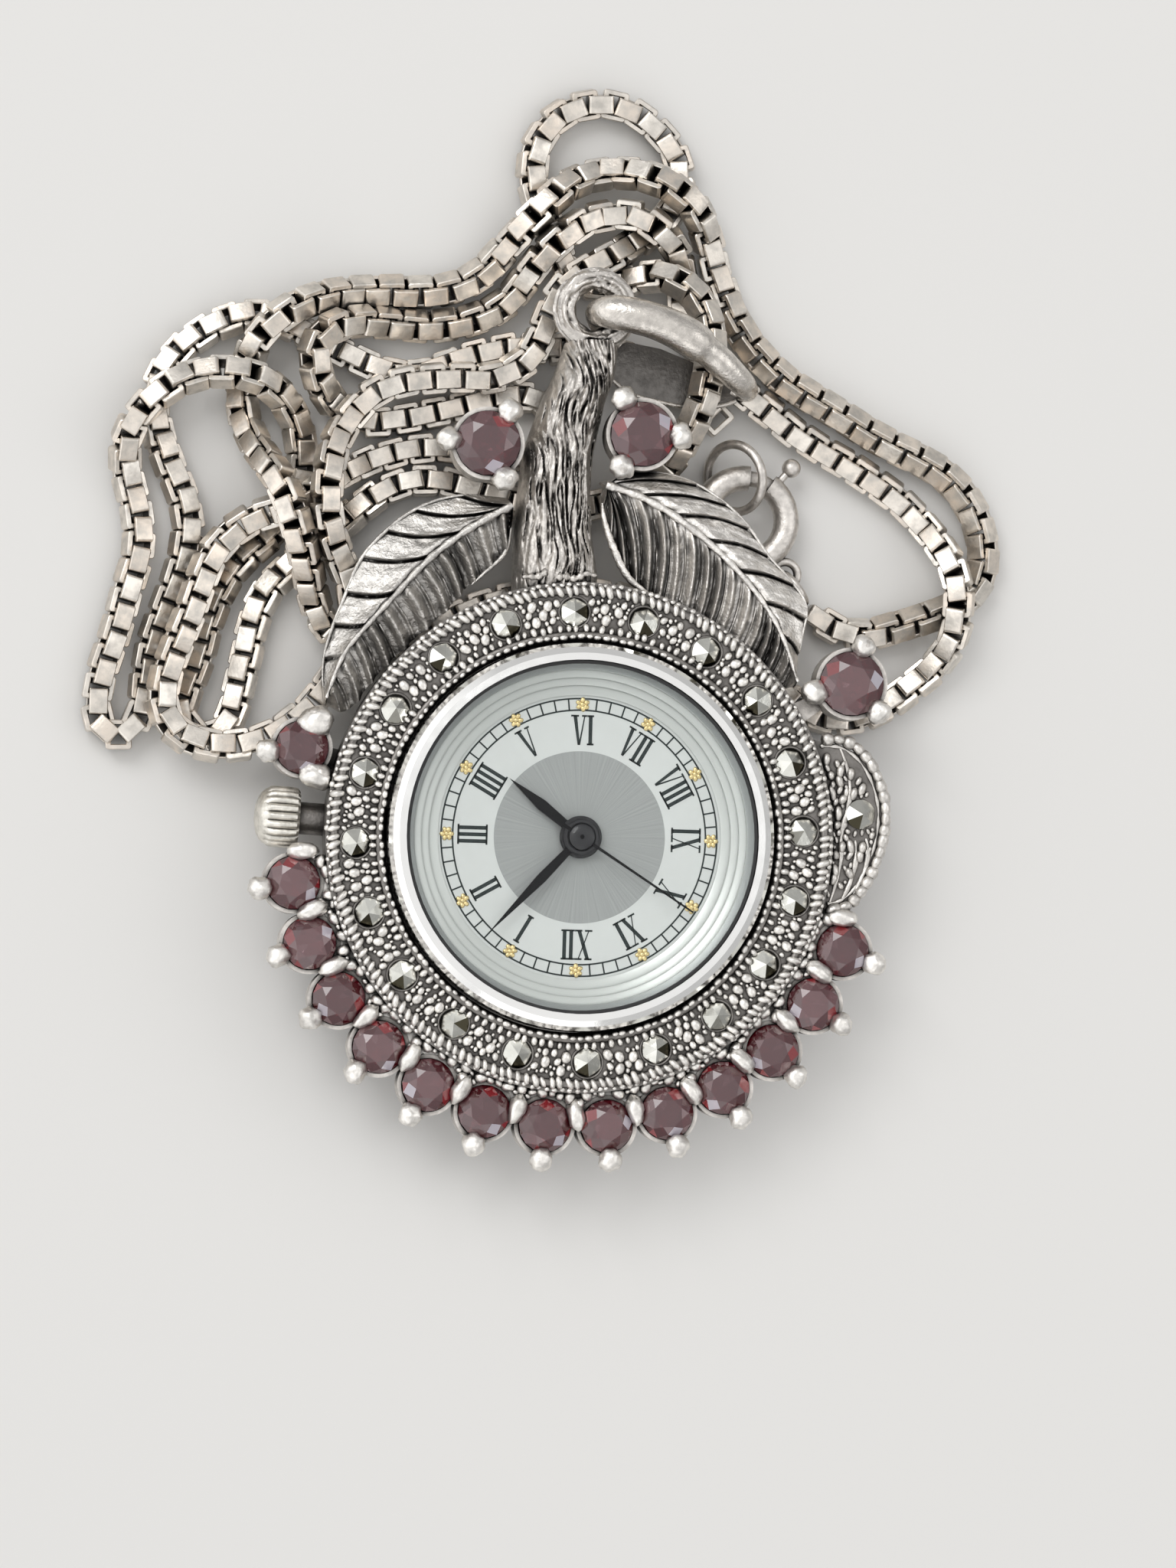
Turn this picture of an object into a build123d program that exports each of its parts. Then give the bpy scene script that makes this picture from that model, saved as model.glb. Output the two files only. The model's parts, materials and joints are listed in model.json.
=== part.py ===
"""Pendant watch: a small quartz watch in a stone-set ornament with leaves and a bark stem,
lying on its back on its own box chain. Millimetres, +Z up, dial up, stem towards +Y.
The origin is the middle of the flat outer face of the case back.
"""
import os
from math import cos, hypot, pi, radians, sin, tan

from build123d import *

os.makedirs("parts", exist_ok=True)

# Case: heights are measured up from the flat of the case back
case_radius = 9.0
case_wall = 1.25
back_thickness = 0.7
back_lip_wall = 0.35
gasket_wall = 0.2
case_ledge_height = 1.55
dial_seat_height = 4.1
dial_thickness = 0.35
case_top_height = 4.6
rehaut_inner_share = 0.7222
rehaut_height = 1.1
crystal_edge_thickness = 0.55
crystal_dome_height = 0.6
crystal_gasket_wall = 0.15
bezel_wall = 0.85
bezel_height = 1.75
bezel_foot_share = 0.55
cut_overrun = 0.5
seat_clearance = 0.02
running_clearance = 0.03

# Stone-set ring round the case
ring_width = 2.8
ring_low_height = 3.05
ring_thickness = 2.2
ring_fillet = 0.35
milgrain_radius = 0.18
milgrain_place_shares = (0.125, 0.857)
marcasite_radius = 0.65
marcasite_girdle = 0.12
marcasite_crown = 0.4
marcasite_pavilion = 0.62
marcasite_count = 20
marcasite_first_angle = 91.6
marcasite_place_share = 0.5

# Garnets and their settings
small_garnet_radius = 1.22
large_garnet_radius = 1.5
garnet_girdle = 0.14
garnet_crown = 0.5
garnet_pavilion = 1.0
garnet_table_share = 0.55
collet_wall = 0.2
collet_low_height = 3.2
collet_depth = 1.5
gallery_count = 13
gallery_first_angle = 189.1
gallery_step_angle = 12.33
gallery_place_share = 1.136
prong_radius = 0.5
inner_prong_share = 0.8
stem_garnet_lift = 0.45
large_prong_angles = (35, 155, 275)
right_stem_turn = 82
left_stem_turn = 20
right_shoulder_turn = 38
left_shoulder_turn = 30
setting_foot_width = 1.0
setting_foot_thickness = 0.5

# Ornament: its outlines are shares of the ring's radius
leaf_thickness = 1.0
midrib_height = 0.75
vein_height = 0.45
comb_height = 0.25
rib_width = 0.55
vein_width = 0.9
comb_width = 0.3
lobe_thickness = 1.7
trunk_height = 2.3
trunk_ridge_share = 0.09
eye_radius = 1.5
eye_wire_radius = 0.5
eye_height = 4.0
solder_gap = 0.02
leaf_right_shares = (
    (0.085, 1.41), (0.25, 1.457), (0.42, 1.432), (0.55, 1.364), (0.68, 1.254), (0.76, 1.119),
    (0.85, 1.034), (0.932, 0.924), (0.885, 0.79), (0.86, 0.62), (0.79, 0.57), (0.64, 0.69),
    (0.49, 0.83), (0.33, 0.93), (0.235, 0.99), (0.19, 1.045), (0.135, 1.16), (0.1, 1.26))
midrib_right_shares = (
    (0.11, 1.385), (0.25, 1.347), (0.42, 1.245), (0.59, 1.1), (0.72, 0.957), (0.81, 0.805), (0.87, 0.64))
vein_right_shares = (
    ((0.25, 1.347), (0.3, 1.45)), ((0.37, 1.28), (0.47, 1.41)), ((0.48, 1.195), (0.62, 1.3)),
    ((0.6, 1.09), (0.74, 1.15)), ((0.7, 0.98), (0.84, 1.04)), ((0.77, 0.87), (0.91, 0.93)))
leaf_left_shares = (
    (-0.29, 1.35), (-0.47, 1.36), (-0.64, 1.297), (-0.78, 1.186), (-0.864, 1.085), (-0.915, 0.949),
    (-0.975, 0.805), (-1.01, 0.678), (-0.995, 0.52), (-0.9, 0.46), (-0.8, 0.62), (-0.64, 0.76),
    (-0.5, 0.9), (-0.44, 0.975), (-0.356, 1.05), (-0.28, 1.12), (-0.262, 1.212))
midrib_left_shares = (
    (-0.275, 1.3), (-0.42, 1.22), (-0.59, 1.093), (-0.737, 0.932), (-0.847, 0.814), (-0.958, 0.72))
vein_left_shares = (
    ((-0.4, 1.23), (-0.48, 1.35)), ((-0.52, 1.15), (-0.63, 1.28)), ((-0.62, 1.06), (-0.76, 1.18)),
    ((-0.71, 0.965), (-0.86, 1.07)), ((-0.8, 0.87), (-0.92, 0.93)))
lobe_shares = (
    (0.9, 0.398), (1.153, 0.322), (1.212, 0.11), (1.195, -0.025), (1.102, -0.246), (0.98, -0.3),
    (0.94, -0.2), (0.96, 0.1))
lobe_stone_share = (1.119, 0.093)
trunk_shares = (
    (0.92, -0.256, 0.08, 0.85), (1.04, -0.254, 0.076, 1.0), (1.186, -0.245, 0.051, 0.96),
    (1.356, -0.22, 0.034, 1.0), (1.525, -0.203, 0.042, 0.93), (1.72, -0.144, 0.085, 0.98),
    (1.83, -0.102, 0.136, 0.9), (1.96, -0.06, 0.161, 0.7))
eye_share = (0.072, 2.085)
garnet_right_of_stem_share = (0.246, 1.585)
garnet_left_of_stem_share = (-0.364, 1.542)
garnet_right_shoulder_share = (1.085, 0.61)
garnet_left_shoulder_share = (-1.089, 0.348)

# Bail: its places are shares of its length, measured from the middle of the eye
bail_length = 8.0
bail_arm_radius = 0.55
bail_band_thickness = 0.32
bail_low_height = 1.52
bail_high_height = 5.3
bail_path_shares = (
    (0.2, -0.17, 0.0), (0.03, -0.02, 0.02), (0.02, 0.0, 1.0), (0.32, -0.07, 0.99), (0.66, -0.25, 0.8),
    (0.93, -0.41, 0.56), (0.93, -0.44, 0.0), (0.84, -0.4, 0.0))
bail_band_shares = (
    (0.1, -0.17), (0.16, -0.4), (0.3, -0.49), (0.42, -0.52), (0.57, -0.56), (0.77, -0.53), (0.93, -0.47),
    (0.95, -0.4), (0.77, -0.3), (0.52, -0.2), (0.27, -0.1))

# Crown and winding stem, along the case's nine o'clock direction
crown_angle = 176.0
crown_radius = 1.6
crown_length = 1.9
crown_reach_share = 1.254
crown_flutes = 26
crown_flute_radius = 0.16
crown_rim = 0.18
stem_height = 2.95
stem_radius = 0.4
stem_inner_share = 0.67
tube_radius = 0.75
tube_bore_radius = 0.5
tube_engagement = 0.75
crown_gasket_width = 0.3

# Movement, in its own frame: plates, train and motion works
plate_gap = 0.55
plate_low_height = 2.3
plate_thickness = 1.3
bridge_low_height = 1.0
bridge_thickness = 0.25
holder_wall = 0.45
pillar_radius = 0.5
screw_radius = 0.2
screw_head_radius = 0.38
screw_head_thickness = 0.13
screw_grip = 0.5
screw_place_shares = ((-0.78, 0.42), (0.75, 0.44), (-0.82, -0.2))
battery_radius_share = 0.3333
battery_height = 1.65
battery_low_height = 1.13
battery_place_share = (0.417, -0.5)
clamp_width = 1.2
clamp_thickness = 0.12
board_thickness = 0.18
board_shares = (
    (-0.7, -0.28), (-0.7, -0.5), (-0.58, -0.74), (-0.14, -0.88), (0.03, -0.88), (0.03, -0.34))
chip_size = 1.4
chip_thickness = 0.4
chip_place_share = (-0.48, -0.47)
quartz_radius = 0.38
quartz_length_share = 0.4167
quartz_place_share = (-0.27, -0.72)
coil_radius = 0.48
coil_length_share = 0.7222
coil_core_width = 0.5
coil_core_thickness = 0.3
coil_place_share = 0.72
stator_thickness = 0.18
stator_low_height = 1.4
stator_bar_shares = ((-0.5, 0.49), (0.5, 0.49), (0.5, 0.78), (0.41, 0.78), (0.41, 0.6), (-0.41, 0.6),
                     (-0.41, 0.78), (-0.5, 0.78))
stator_tongue_shares = ((-0.4, 0.18), (-0.14, 0.18), (-0.14, 0.5), (-0.4, 0.5))
lever_thickness = 0.2
lever_shares = (
    (-0.8, 0.1), (-0.66, 0.1), (-0.5, 0.26), (-0.54, 0.42), (-0.66, 0.36), (-0.72, 0.24), (-0.8, 0.2))
yoke_shares = ((-0.62, -0.1), (-0.48, -0.1), (-0.34, -0.3), (-0.4, -0.5), (-0.52, -0.42), (-0.48, -0.3),
               (-0.62, -0.2))
tooth_module_share = 0.006944
tooth_height_share = 0.9
tooth_root_share = 1.15
tooth_width_share = 0.21
wheel_thickness = 0.12
arbor_radius = 0.09
pinion_thickness = 0.26
train_gap = 0.07
second_wheel_teeth = 60
second_pinion_teeth = 8
third_wheel_teeth = 60
third_pinion_teeth = 8
centre_wheel_teeth = 64
rotor_pinion_teeth = 6
intermediate_wheel_teeth = 30
intermediate_pinion_teeth = 10
cannon_teeth = 12
minute_wheel_teeth = 36
minute_pinion_teeth = 10
hour_wheel_teeth = 40
third_wheel_angle = 70
intermediate_angle = 150
rotor_angle = 120
minute_wheel_angle = 200
magnet_radius = 0.5
magnet_thickness = 0.32
stator_hole_gap = 0.1
train_low_height = 1.38
motion_low_height = 3.68
centre_tube_wall = 0.07
cannon_tube_wall = 0.07
hour_tube_wall = 0.15
dial_foot_radius = 0.22
dial_foot_place_share = 0.65
dial_foot_angles = (75, 255)
dial_hole_gap = 0.1

# Hands: lengths are shares of the flange's inner radius, angles are in the dial's plane
hour_hand_share = 0.6462
minute_hand_share = 0.9538
second_hand_share = 0.9538
hour_hand_angle = 140.5
minute_hand_angle = 225.9
second_hand_angle = -33.8
hour_hand_width = 0.52
minute_hand_width = 0.46
hand_neck_share = 0.33
second_hand_width = 0.16
second_hand_tail = 1.6
hand_thickness = 0.12
hour_hand_height = 4.76
minute_hand_height = 5.04
second_hand_height = 5.3
hour_boss_radius = 0.95
minute_boss_radius = 0.8
second_boss_radius = 0.55
hour_widest_share = 0.55
minute_widest_share = 0.42

# Chain, clasp and end ring
chain_radius = 0.7
clasp_place = (8.3, 15.1)
clasp_height = 1.2
clasp_ring_radius = 2.0
clasp_tube_radius = 0.6
clasp_bore_radius = 0.4
clasp_gap_start_angle = 54
clasp_gap_angle = 30
clasp_latch_tail_angle = 24
clasp_latch_tip_angle = 3
clasp_slot_angle = 42
clasp_neck_radius = 0.18
clasp_neck_length = 0.75
clasp_knob_radius = 0.45
clasp_spring_angle = 34
clasp_spring_wire_radius = 0.08
clasp_lug_angle = -53
clasp_lug_radius = 0.6
clasp_lug_wire_radius = 0.2
jump_ring_radius = 1.6
jump_ring_wire_radius = 0.22
jump_ring_angle = 104
jump_ring_reach_share = 1.02
jump_ring_lean = 44
end_ring_radius = 0.8
end_ring_wire_radius = 0.2
end_ring_height = 1.05

# Route of the chain over the table, from the jump ring to the end ring, chosen by hand
chain_points = [
    (7.2, 19.7, 0.75), (6.3, 20.7, 0.75), (5.3, 21.5, 0.75), (4.1, 22.3, 0.75),
    (2.7, 22.9, 0.75), (0.9, 23.2, 0.75), (-1.0, 23.1, 0.75), (-2.6, 23.2, 0.75),
    (-4.0, 22.9, 0.75), (-5.4, 22.5, 0.75), (-6.8, 21.9, 0.75), (-8.1, 21.8, 0.75),
    (-9.4, 22.2, 0.75), (-10.7, 22.8, 0.75), (-11.9, 23.4, 0.75), (-13.2, 24.1, 0.75),
    (-14.7, 24.6, 0.75), (-16.4, 24.2, 0.75), (-17.9, 23.3, 0.75), (-19.1, 22.0, 0.75),
    (-19.6, 20.5, 0.75), (-19.4, 19.0, 0.75), (-18.9, 17.6, 0.75), (-18.3, 16.3, 0.75),
    (-17.9, 14.8, 0.75), (-18.1, 13.4, 0.75), (-18.5, 12.0, 0.75), (-19.1, 10.6, 0.75),
    (-19.6, 9.1, 0.75), (-19.9, 7.7, 0.75), (-20.0, 6.4, 0.75), (-20.3, 5.3, 0.75),
    (-21.1, 4.7, 0.75), (-22.0, 5.1, 0.75), (-22.2, 6.2, 0.75), (-22.0, 7.5, 0.75),
    (-21.6, 8.8, 0.75), (-21.1, 10.2, 0.75), (-20.8, 11.6, 0.75), (-20.3, 13.0, 0.75),
    (-20.2, 14.5, 0.75), (-20.5, 15.9, 0.75), (-20.9, 17.3, 0.9), (-20.9, 18.6, 1.6),
    (-20.2, 19.9, 2.3), (-18.9, 21.0, 2.3), (-17.5, 21.6, 2.0), (-16.2, 21.7, 2.3),
    (-14.9, 21.5, 2.3), (-13.7, 20.8, 1.5), (-12.9, 19.6, 0.8), (-12.6, 18.1, 0.75),
    (-12.7, 16.7, 0.75), (-13.1, 15.4, 0.75), (-13.9, 14.3, 0.75), (-15.0, 13.5, 0.75),
    (-15.9, 12.5, 0.75), (-16.6, 11.3, 0.75), (-17.1, 9.8, 0.75), (-17.4, 8.4, 0.75),
    (-17.9, 7.1, 0.75), (-18.3, 5.9, 0.75), (-17.7, 4.9, 0.75), (-16.6, 4.7, 0.75),
    (-15.9, 5.6, 0.75), (-15.6, 6.9, 0.75), (-15.2, 8.5, 0.75), (-14.9, 10.1, 0.75),
    (-14.4, 11.4, 0.75), (-13.5, 12.4, 0.75), (-12.5, 13.3, 0.75), (-11.5, 14.0, 0.75),
    (-10.6, 14.9, 0.75), (-9.6, 15.8, 0.75), (-8.3, 16.6, 0.75), (-6.9, 16.9, 0.75),
    (-5.3, 16.7, 0.75), (-3.8, 16.2, 0.75), (-2.1, 15.7, 0.75), (-0.3, 15.6, 0.75),
    (1.6, 15.8, 0.75), (3.3, 16.6, 0.75), (4.6, 17.6, 1.15), (5.3, 18.8, 2.3),
    (5.9, 20.1, 2.8), (6.3, 21.5, 2.8), (6.5, 22.9, 2.7), (6.4, 24.3, 2.45),
    (5.9, 25.5, 2.25), (4.9, 26.3, 2.3), (3.8, 26.6, 1.7), (2.6, 26.3, 0.9),
    (1.0, 26.1, 0.75), (-0.1, 26.7, 0.75), (-0.6, 27.9, 0.75), (-1.1, 29.3, 0.75),
    (-1.7, 30.6, 0.75), (-1.8, 32.1, 0.75), (-1.3, 33.4, 0.75), (-0.2, 34.5, 0.75),
    (1.4, 34.9, 0.75), (3.0, 34.6, 0.75), (4.3, 33.6, 0.75), (5.2, 32.4, 0.75),
    (5.3, 31.0, 0.75), (4.9, 29.7, 0.75), (3.9, 28.7, 0.75), (2.8, 28.0, 1.2),
    (1.4, 27.1, 2.2), (0.2, 26.5, 2.3), (-0.8, 25.5, 2.25), (-1.3, 24.2, 2.2),
    (-1.8, 22.9, 2.2), (-2.8, 21.9, 2.2), (-4.0, 21.5, 2.2), (-5.3, 21.6, 2.2),
    (-6.7, 21.5, 2.2), (-8.2, 21.3, 2.2), (-9.6, 20.7, 2.2), (-10.6, 19.5, 2.3),
    (-11.3, 18.2, 2.9), (-11.6, 16.7, 3.6), (-11.7, 15.3, 3.7), (-11.4, 13.9, 3.2),
    (-10.8, 12.7, 2.3), (-10.3, 11.3, 2.2), (-10.3, 9.6, 2.25), (-10.9, 8.1, 2.2),
    (-11.8, 6.7, 2.2), (-13.0, 5.5, 2.2), (-14.4, 4.6, 2.2), (-15.9, 4.2, 2.2),
    (-17.4, 4.3, 2.25), (-18.6, 4.9, 2.25), (-19.2, 6.0, 2.25), (-19.1, 7.3, 2.25),
    (-18.6, 8.7, 2.25), (-18.0, 10.2, 2.2), (-17.5, 11.6, 2.1), (-17.0, 13.0, 1.85),
    (-16.1, 14.2, 1.75), (-14.8, 15.0, 2.0), (-13.4, 15.4, 2.25), (-12.1, 16.0, 2.2),
    (-11.1, 16.9, 1.6), (-9.8, 17.6, 0.9), (-8.4, 18.1, 0.75), (-6.9, 18.4, 0.75),
    (-5.3, 18.4, 0.75), (-3.9, 18.1, 0.75), (-2.5, 17.9, 0.75), (-1.2, 18.3, 0.75),
    (-0.5, 19.3, 0.75), (-0.8, 20.4, 0.75), (-1.9, 20.9, 0.75), (-3.4, 20.8, 0.75),
    (-4.9, 20.4, 0.75), (-6.5, 20.0, 0.75), (-7.9, 19.7, 0.75), (-9.2, 19.5, 0.75),
    (-10.5, 19.8, 0.75), (-11.5, 20.7, 1.2), (-12.1, 21.8, 2.1), (-12.2, 23.0, 2.3),
    (-11.2, 24.0, 2.1), (-9.7, 24.3, 1.2), (-8.2, 24.2, 0.75), (-6.7, 24.1, 0.75),
    (-5.1, 24.3, 0.75), (-3.7, 24.8, 0.75), (-2.7, 25.6, 0.8), (-2.1, 26.5, 1.4),
    (-1.4, 27.4, 2.2), (-0.4, 28.4, 2.3), (0.8, 29.2, 1.7), (2.2, 29.5, 1.7),
    (3.3, 29.3, 2.2), (4.3, 28.5, 2.3), (5.1, 27.8, 1.4), (5.4, 26.5, 0.75),
    (5.4, 25.1, 0.75), (5.7, 23.7, 0.75), (6.7, 22.6, 0.75), (7.9, 21.5, 0.75),
    (9.2, 20.6, 0.75), (10.5, 19.5, 0.75), (11.8, 18.7, 0.75), (13.2, 17.9, 0.75),
    (14.5, 17.1, 0.75), (15.8, 16.2, 0.75), (16.9, 15.1, 0.8), (17.7, 13.9, 1.5),
    (18.3, 12.5, 2.2), (18.4, 11.0, 2.3), (18.3, 9.5, 1.7), (17.5, 8.2, 0.9),
    (16.2, 7.1, 0.75), (14.8, 6.1, 0.75), (13.3, 5.6, 0.75), (11.7, 5.8, 0.75),
    (10.5, 6.7, 0.75), (9.2, 7.9, 0.75), (7.8, 9.1, 0.75), (6.2, 10.2, 0.75),
    (4.3, 11.0, 0.75), (2.3, 11.5, 0.75), (0.2, 11.7, 0.75), (-2.0, 11.6, 0.75),
    (-4.0, 11.1, 0.75), (-5.8, 10.3, 0.75), (-7.5, 9.2, 0.75), (-9.0, 8.8, 0.75),
    (-10.5, 9.1, 0.75), (-11.7, 10.1, 1.1), (-12.2, 11.4, 1.9), (-12.5, 12.6, 2.8),
    (-12.9, 13.9, 3.65), (-13.3, 15.3, 3.8), (-13.8, 16.6, 3.4), (-14.6, 17.9, 1.9),
    (-15.2, 19.2, 0.8), (-15.5, 20.6, 0.75), (-15.3, 21.9, 0.75), (-14.9, 23.1, 1.7),
    (-14.3, 23.9, 2.2), (-13.1, 24.8, 2.2), (-11.6, 25.4, 1.5), (-10.1, 25.7, 0.8),
    (-8.5, 25.8, 0.75), (-6.9, 25.7, 0.75), (-5.3, 26.0, 0.75), (-4.1, 26.7, 0.75),
    (-3.2, 27.7, 1.1), (-2.4, 28.6, 2.0), (-1.4, 29.6, 2.3), (-0.3, 30.7, 2.0),
    (1.1, 31.4, 1.0), (2.5, 31.5, 1.3), (3.7, 31.2, 2.1), (5.0, 30.5, 2.3),
    (6.0, 29.6, 2.0), (6.6, 28.3, 1.0), (7.0, 26.9, 0.75), (7.5, 25.5, 0.75),
    (8.1, 24.2, 0.75), (9.0, 23.0, 0.75), (10.1, 21.9, 0.75), (11.4, 21.1, 0.75),
    (12.8, 20.3, 0.75), (14.1, 19.5, 0.75), (15.5, 18.7, 0.75), (16.9, 18.1, 0.75),
    (18.3, 17.2, 0.75), (19.3, 15.9, 0.75), (19.8, 14.5, 0.75), (19.9, 13.1, 0.75),
    (19.4, 11.8, 0.75), (18.3, 11.0, 0.75), (16.9, 10.5, 0.75), (15.6, 10.1, 0.75),
    (14.2, 9.7, 0.75), (12.7, 9.9, 0.75), (11.6, 10.7, 0.75),
]

STAND = (Align.CENTER, Align.CENTER, Align.MIN)


def polar(radius, angle):
    return (radius * cos(radians(angle)), radius * sin(radians(angle)))


def spread(shares, size, x=0, y=0):
    return [(x + u * size, y + v * size) for u, v in shares]


def rod(radius, low, high, x=0, y=0):
    return Pos(x, y, low) * Cylinder(radius, high - low, align=STAND)


def tube(outer, inner, low, high, x=0, y=0):
    return rod(outer, low, high, x, y) - rod(inner, low - cut_overrun, high + cut_overrun, x, y)


def taper(low_radius, high_radius, low, high, x=0, y=0):
    return Pos(x, y, low) * Cone(low_radius, high_radius, high - low, align=STAND)


def prism(points, low, high):
    face = make_face(Polyline(*points, close=True))
    return extrude(Pos(0, 0, low) * face, amount=high - low, dir=(0, 0, 1))


def bar(start, end, width, low, high):
    run = hypot(end[0] - start[0], end[1] - start[1])
    across = ((start[1] - end[1]) / run * width / 2, (end[0] - start[0]) / run * width / 2)
    points = [
        (start[0] + across[0], start[1] + across[1]),
        (start[0] - across[0], start[1] - across[1]),
        (end[0] - across[0] / 2, end[1] - across[1] / 2),
        (end[0] + across[0] / 2, end[1] + across[1] / 2)]
    return prism(points, low, high)


def lying_rod(radius, start, end, height):
    """A rod along X, from start to end, with its axis at height."""
    return Pos(start, 0, height) * Rot(0, 90, 0) * Cylinder(radius, end - start, align=STAND)


def turned(profile, x=0, y=0):
    """A solid of revolution about Z from points given as radius and height."""
    face = make_face(Polyline(*[(radius, 0, height) for radius, height in profile], close=True))
    return Pos(x, y, 0) * revolve(face, Axis.Z)


def gear(teeth, pitch_radius, low, high, x=0, y=0, phase=0):
    module = 2 * pitch_radius / teeth
    tip = pitch_radius + module * tooth_height_share
    root = pitch_radius - module * tooth_root_share
    pitch_angle = 360 / teeth
    points = []
    for tooth in range(teeth):
        middle = phase + tooth * pitch_angle
        for radius, angle in ((root, -tooth_width_share * 1.4), (tip, -tooth_width_share * 0.6),
                              (tip, tooth_width_share * 0.6), (root, tooth_width_share * 1.4)):
            px, py = polar(radius, middle + angle * pitch_angle)
            points.append((x + px, y + py))
    return prism(points, low, high)


def fuse(solids):
    whole = solids[0]
    for solid in solids[1:]:
        whole = whole + solid
    return whole


def save(name, *solids):
    shape = solids[0] if len(solids) == 1 else Compound(children=list(solids))
    shape.label = name
    export_step(shape, f"parts/{name}.step")


def ring_place(shares):
    return (shares[0] * ring_radius, shares[1] * ring_radius)


# Case shells
def make_case():
    lip_outer = case_bore_radius + back_lip_wall
    ledge = case_ledge_height
    gasket_outer = lip_outer + gasket_wall
    back = rod(case_radius, 0, back_thickness) + tube(
        lip_outer, case_bore_radius, back_thickness - seat_clearance, ledge - seat_clearance)
    middle = rod(case_radius, back_thickness, case_top_height)
    middle -= rod(gasket_outer + seat_clearance, 0, ledge)
    middle -= rod(case_bore_radius, 0, case_top_height + cut_overrun)
    middle -= rod(dial_radius + seat_clearance, dial_seat_height, case_top_height + cut_overrun)
    hole = lying_rod(tube_radius + seat_clearance, 0, 2 * case_radius, stem_height)
    middle -= Rot(0, 0, crown_angle) * hole
    gasket = tube(gasket_outer, lip_outer + seat_clearance, back_thickness, ledge - seat_clearance)
    save("case_back", back)
    save("case_middle", middle)
    save("case_back_gasket", gasket)


def make_glass():
    foot = case_top_height
    low = rehaut_top_height
    high = low + crystal_edge_thickness
    bezel_inner = case_radius - bezel_wall
    knee = foot + bezel_height * bezel_foot_share
    outline = [(bezel_inner, foot), (case_radius, foot), (case_radius, knee)]
    for step in (0.25, 0.5, 0.75):
        outline.append((case_radius - bezel_wall * (1 - cos(step * pi / 2)),
                        knee + (foot + bezel_height - knee) * sin(step * pi / 2)))
    outline.append((bezel_inner, foot + bezel_height))
    crystal_radius = bezel_inner - crystal_gasket_wall - seat_clearance
    edge = rod(crystal_radius, low, high)
    sphere_radius = (crystal_radius ** 2 + crystal_dome_height ** 2) / (2 * crystal_dome_height)
    dome = Pos(0, 0, high + crystal_dome_height - sphere_radius) * Sphere(sphere_radius)
    dome = dome & rod(crystal_radius, high - seat_clearance, high + 2 * crystal_dome_height)
    gasket = tube(bezel_inner - seat_clearance, crystal_radius + seat_clearance, low, high)
    rehaut = turned([(rehaut_inner_radius, dial_top_height), (dial_radius, dial_top_height),
                     (dial_radius, rehaut_top_height), (crystal_radius - bezel_wall / 2, rehaut_top_height)])
    save("bezel", turned(outline))
    save("crystal", edge + dome)
    save("crystal_gasket", gasket)
    save("rehaut_ring", rehaut)


def make_dial():
    dial = rod(dial_radius - running_clearance, dial_seat_height, dial_top_height)
    dial -= rod(hour_tube_radius + dial_hole_gap, 0, case_radius)
    for side in dial_foot_angles:
        x, y = polar(dial_foot_place_share * plate_radius, side)
        foot_low = plate_low_height + plate_thickness / 2
        dial += rod(dial_foot_radius, foot_low, dial_seat_height + seat_clearance, x, y)
    save("dial", in_movement(dial))


# Ornament round the case
def stone(radius, low, girdle_height, girdle, crown, table_share, x, y):
    """A round stone: cone below, thin girdle, cut cone above."""
    below = taper(radius * 0.15, radius, low, girdle_height, x, y)
    belt = rod(radius, girdle_height, girdle_height + girdle, x, y)
    above = taper(radius, radius * table_share, girdle_height + girdle, girdle_height + girdle + crown, x, y)
    return below + belt + above


def marcasite(x, y, top):
    girdle_height = top - marcasite_girdle
    return stone(marcasite_radius, girdle_height - marcasite_pavilion, girdle_height, marcasite_girdle,
                 marcasite_crown, 0.12, x, y)


def marcasite_seat(x, y, top):
    return rod(marcasite_radius + seat_clearance, top - marcasite_pavilion - 2 * marcasite_girdle,
               top + cut_overrun, x, y)


def garnet(radius, x, y, lift=0):
    girdle_height = collet_low_height + collet_depth + lift
    return stone(radius, girdle_height - garnet_pavilion, girdle_height, garnet_girdle, garnet_crown,
                 garnet_table_share, x, y)


def collet(radius, x, y, lift=0):
    return rod(radius + collet_wall, collet_low_height + lift, collet_low_height + collet_depth + lift, x, y)


def collet_seat(radius, x, y, lift=0):
    high = collet_low_height + collet_depth + lift
    seat = taper(radius * 0.15 + seat_clearance, radius + 2 * seat_clearance,
                 high - garnet_pavilion, high + seat_clearance, x, y)
    mouth = rod(radius + seat_clearance, high, high + cut_overrun, x, y)
    return seat + rod(radius / 2, 0, high, x, y) + mouth


def prong(radius, angle, place, lift=0):
    """A ball-topped prong on the rim of a collet, leaning over the stone's edge."""
    foot_x, foot_y = polar(radius + collet_wall + prong_radius / 4, angle)
    x, y = place[0] + foot_x, place[1] + foot_y
    top = collet_low_height + collet_depth + garnet_girdle + lift
    return rod(prong_radius * 0.8, collet_low_height + collet_depth / 2 + lift, top, x, y) + (
        Pos(x, y, top) * Sphere(prong_radius))


def frame_top():
    return ring_low_height + ring_thickness


def ring_cut():
    return rod(ring_radius + solder_gap, 0, 3 * case_radius)


def on_ring(share):
    """A distance from the middle at a share of the ring's width."""
    return case_radius + share * ring_width


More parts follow.
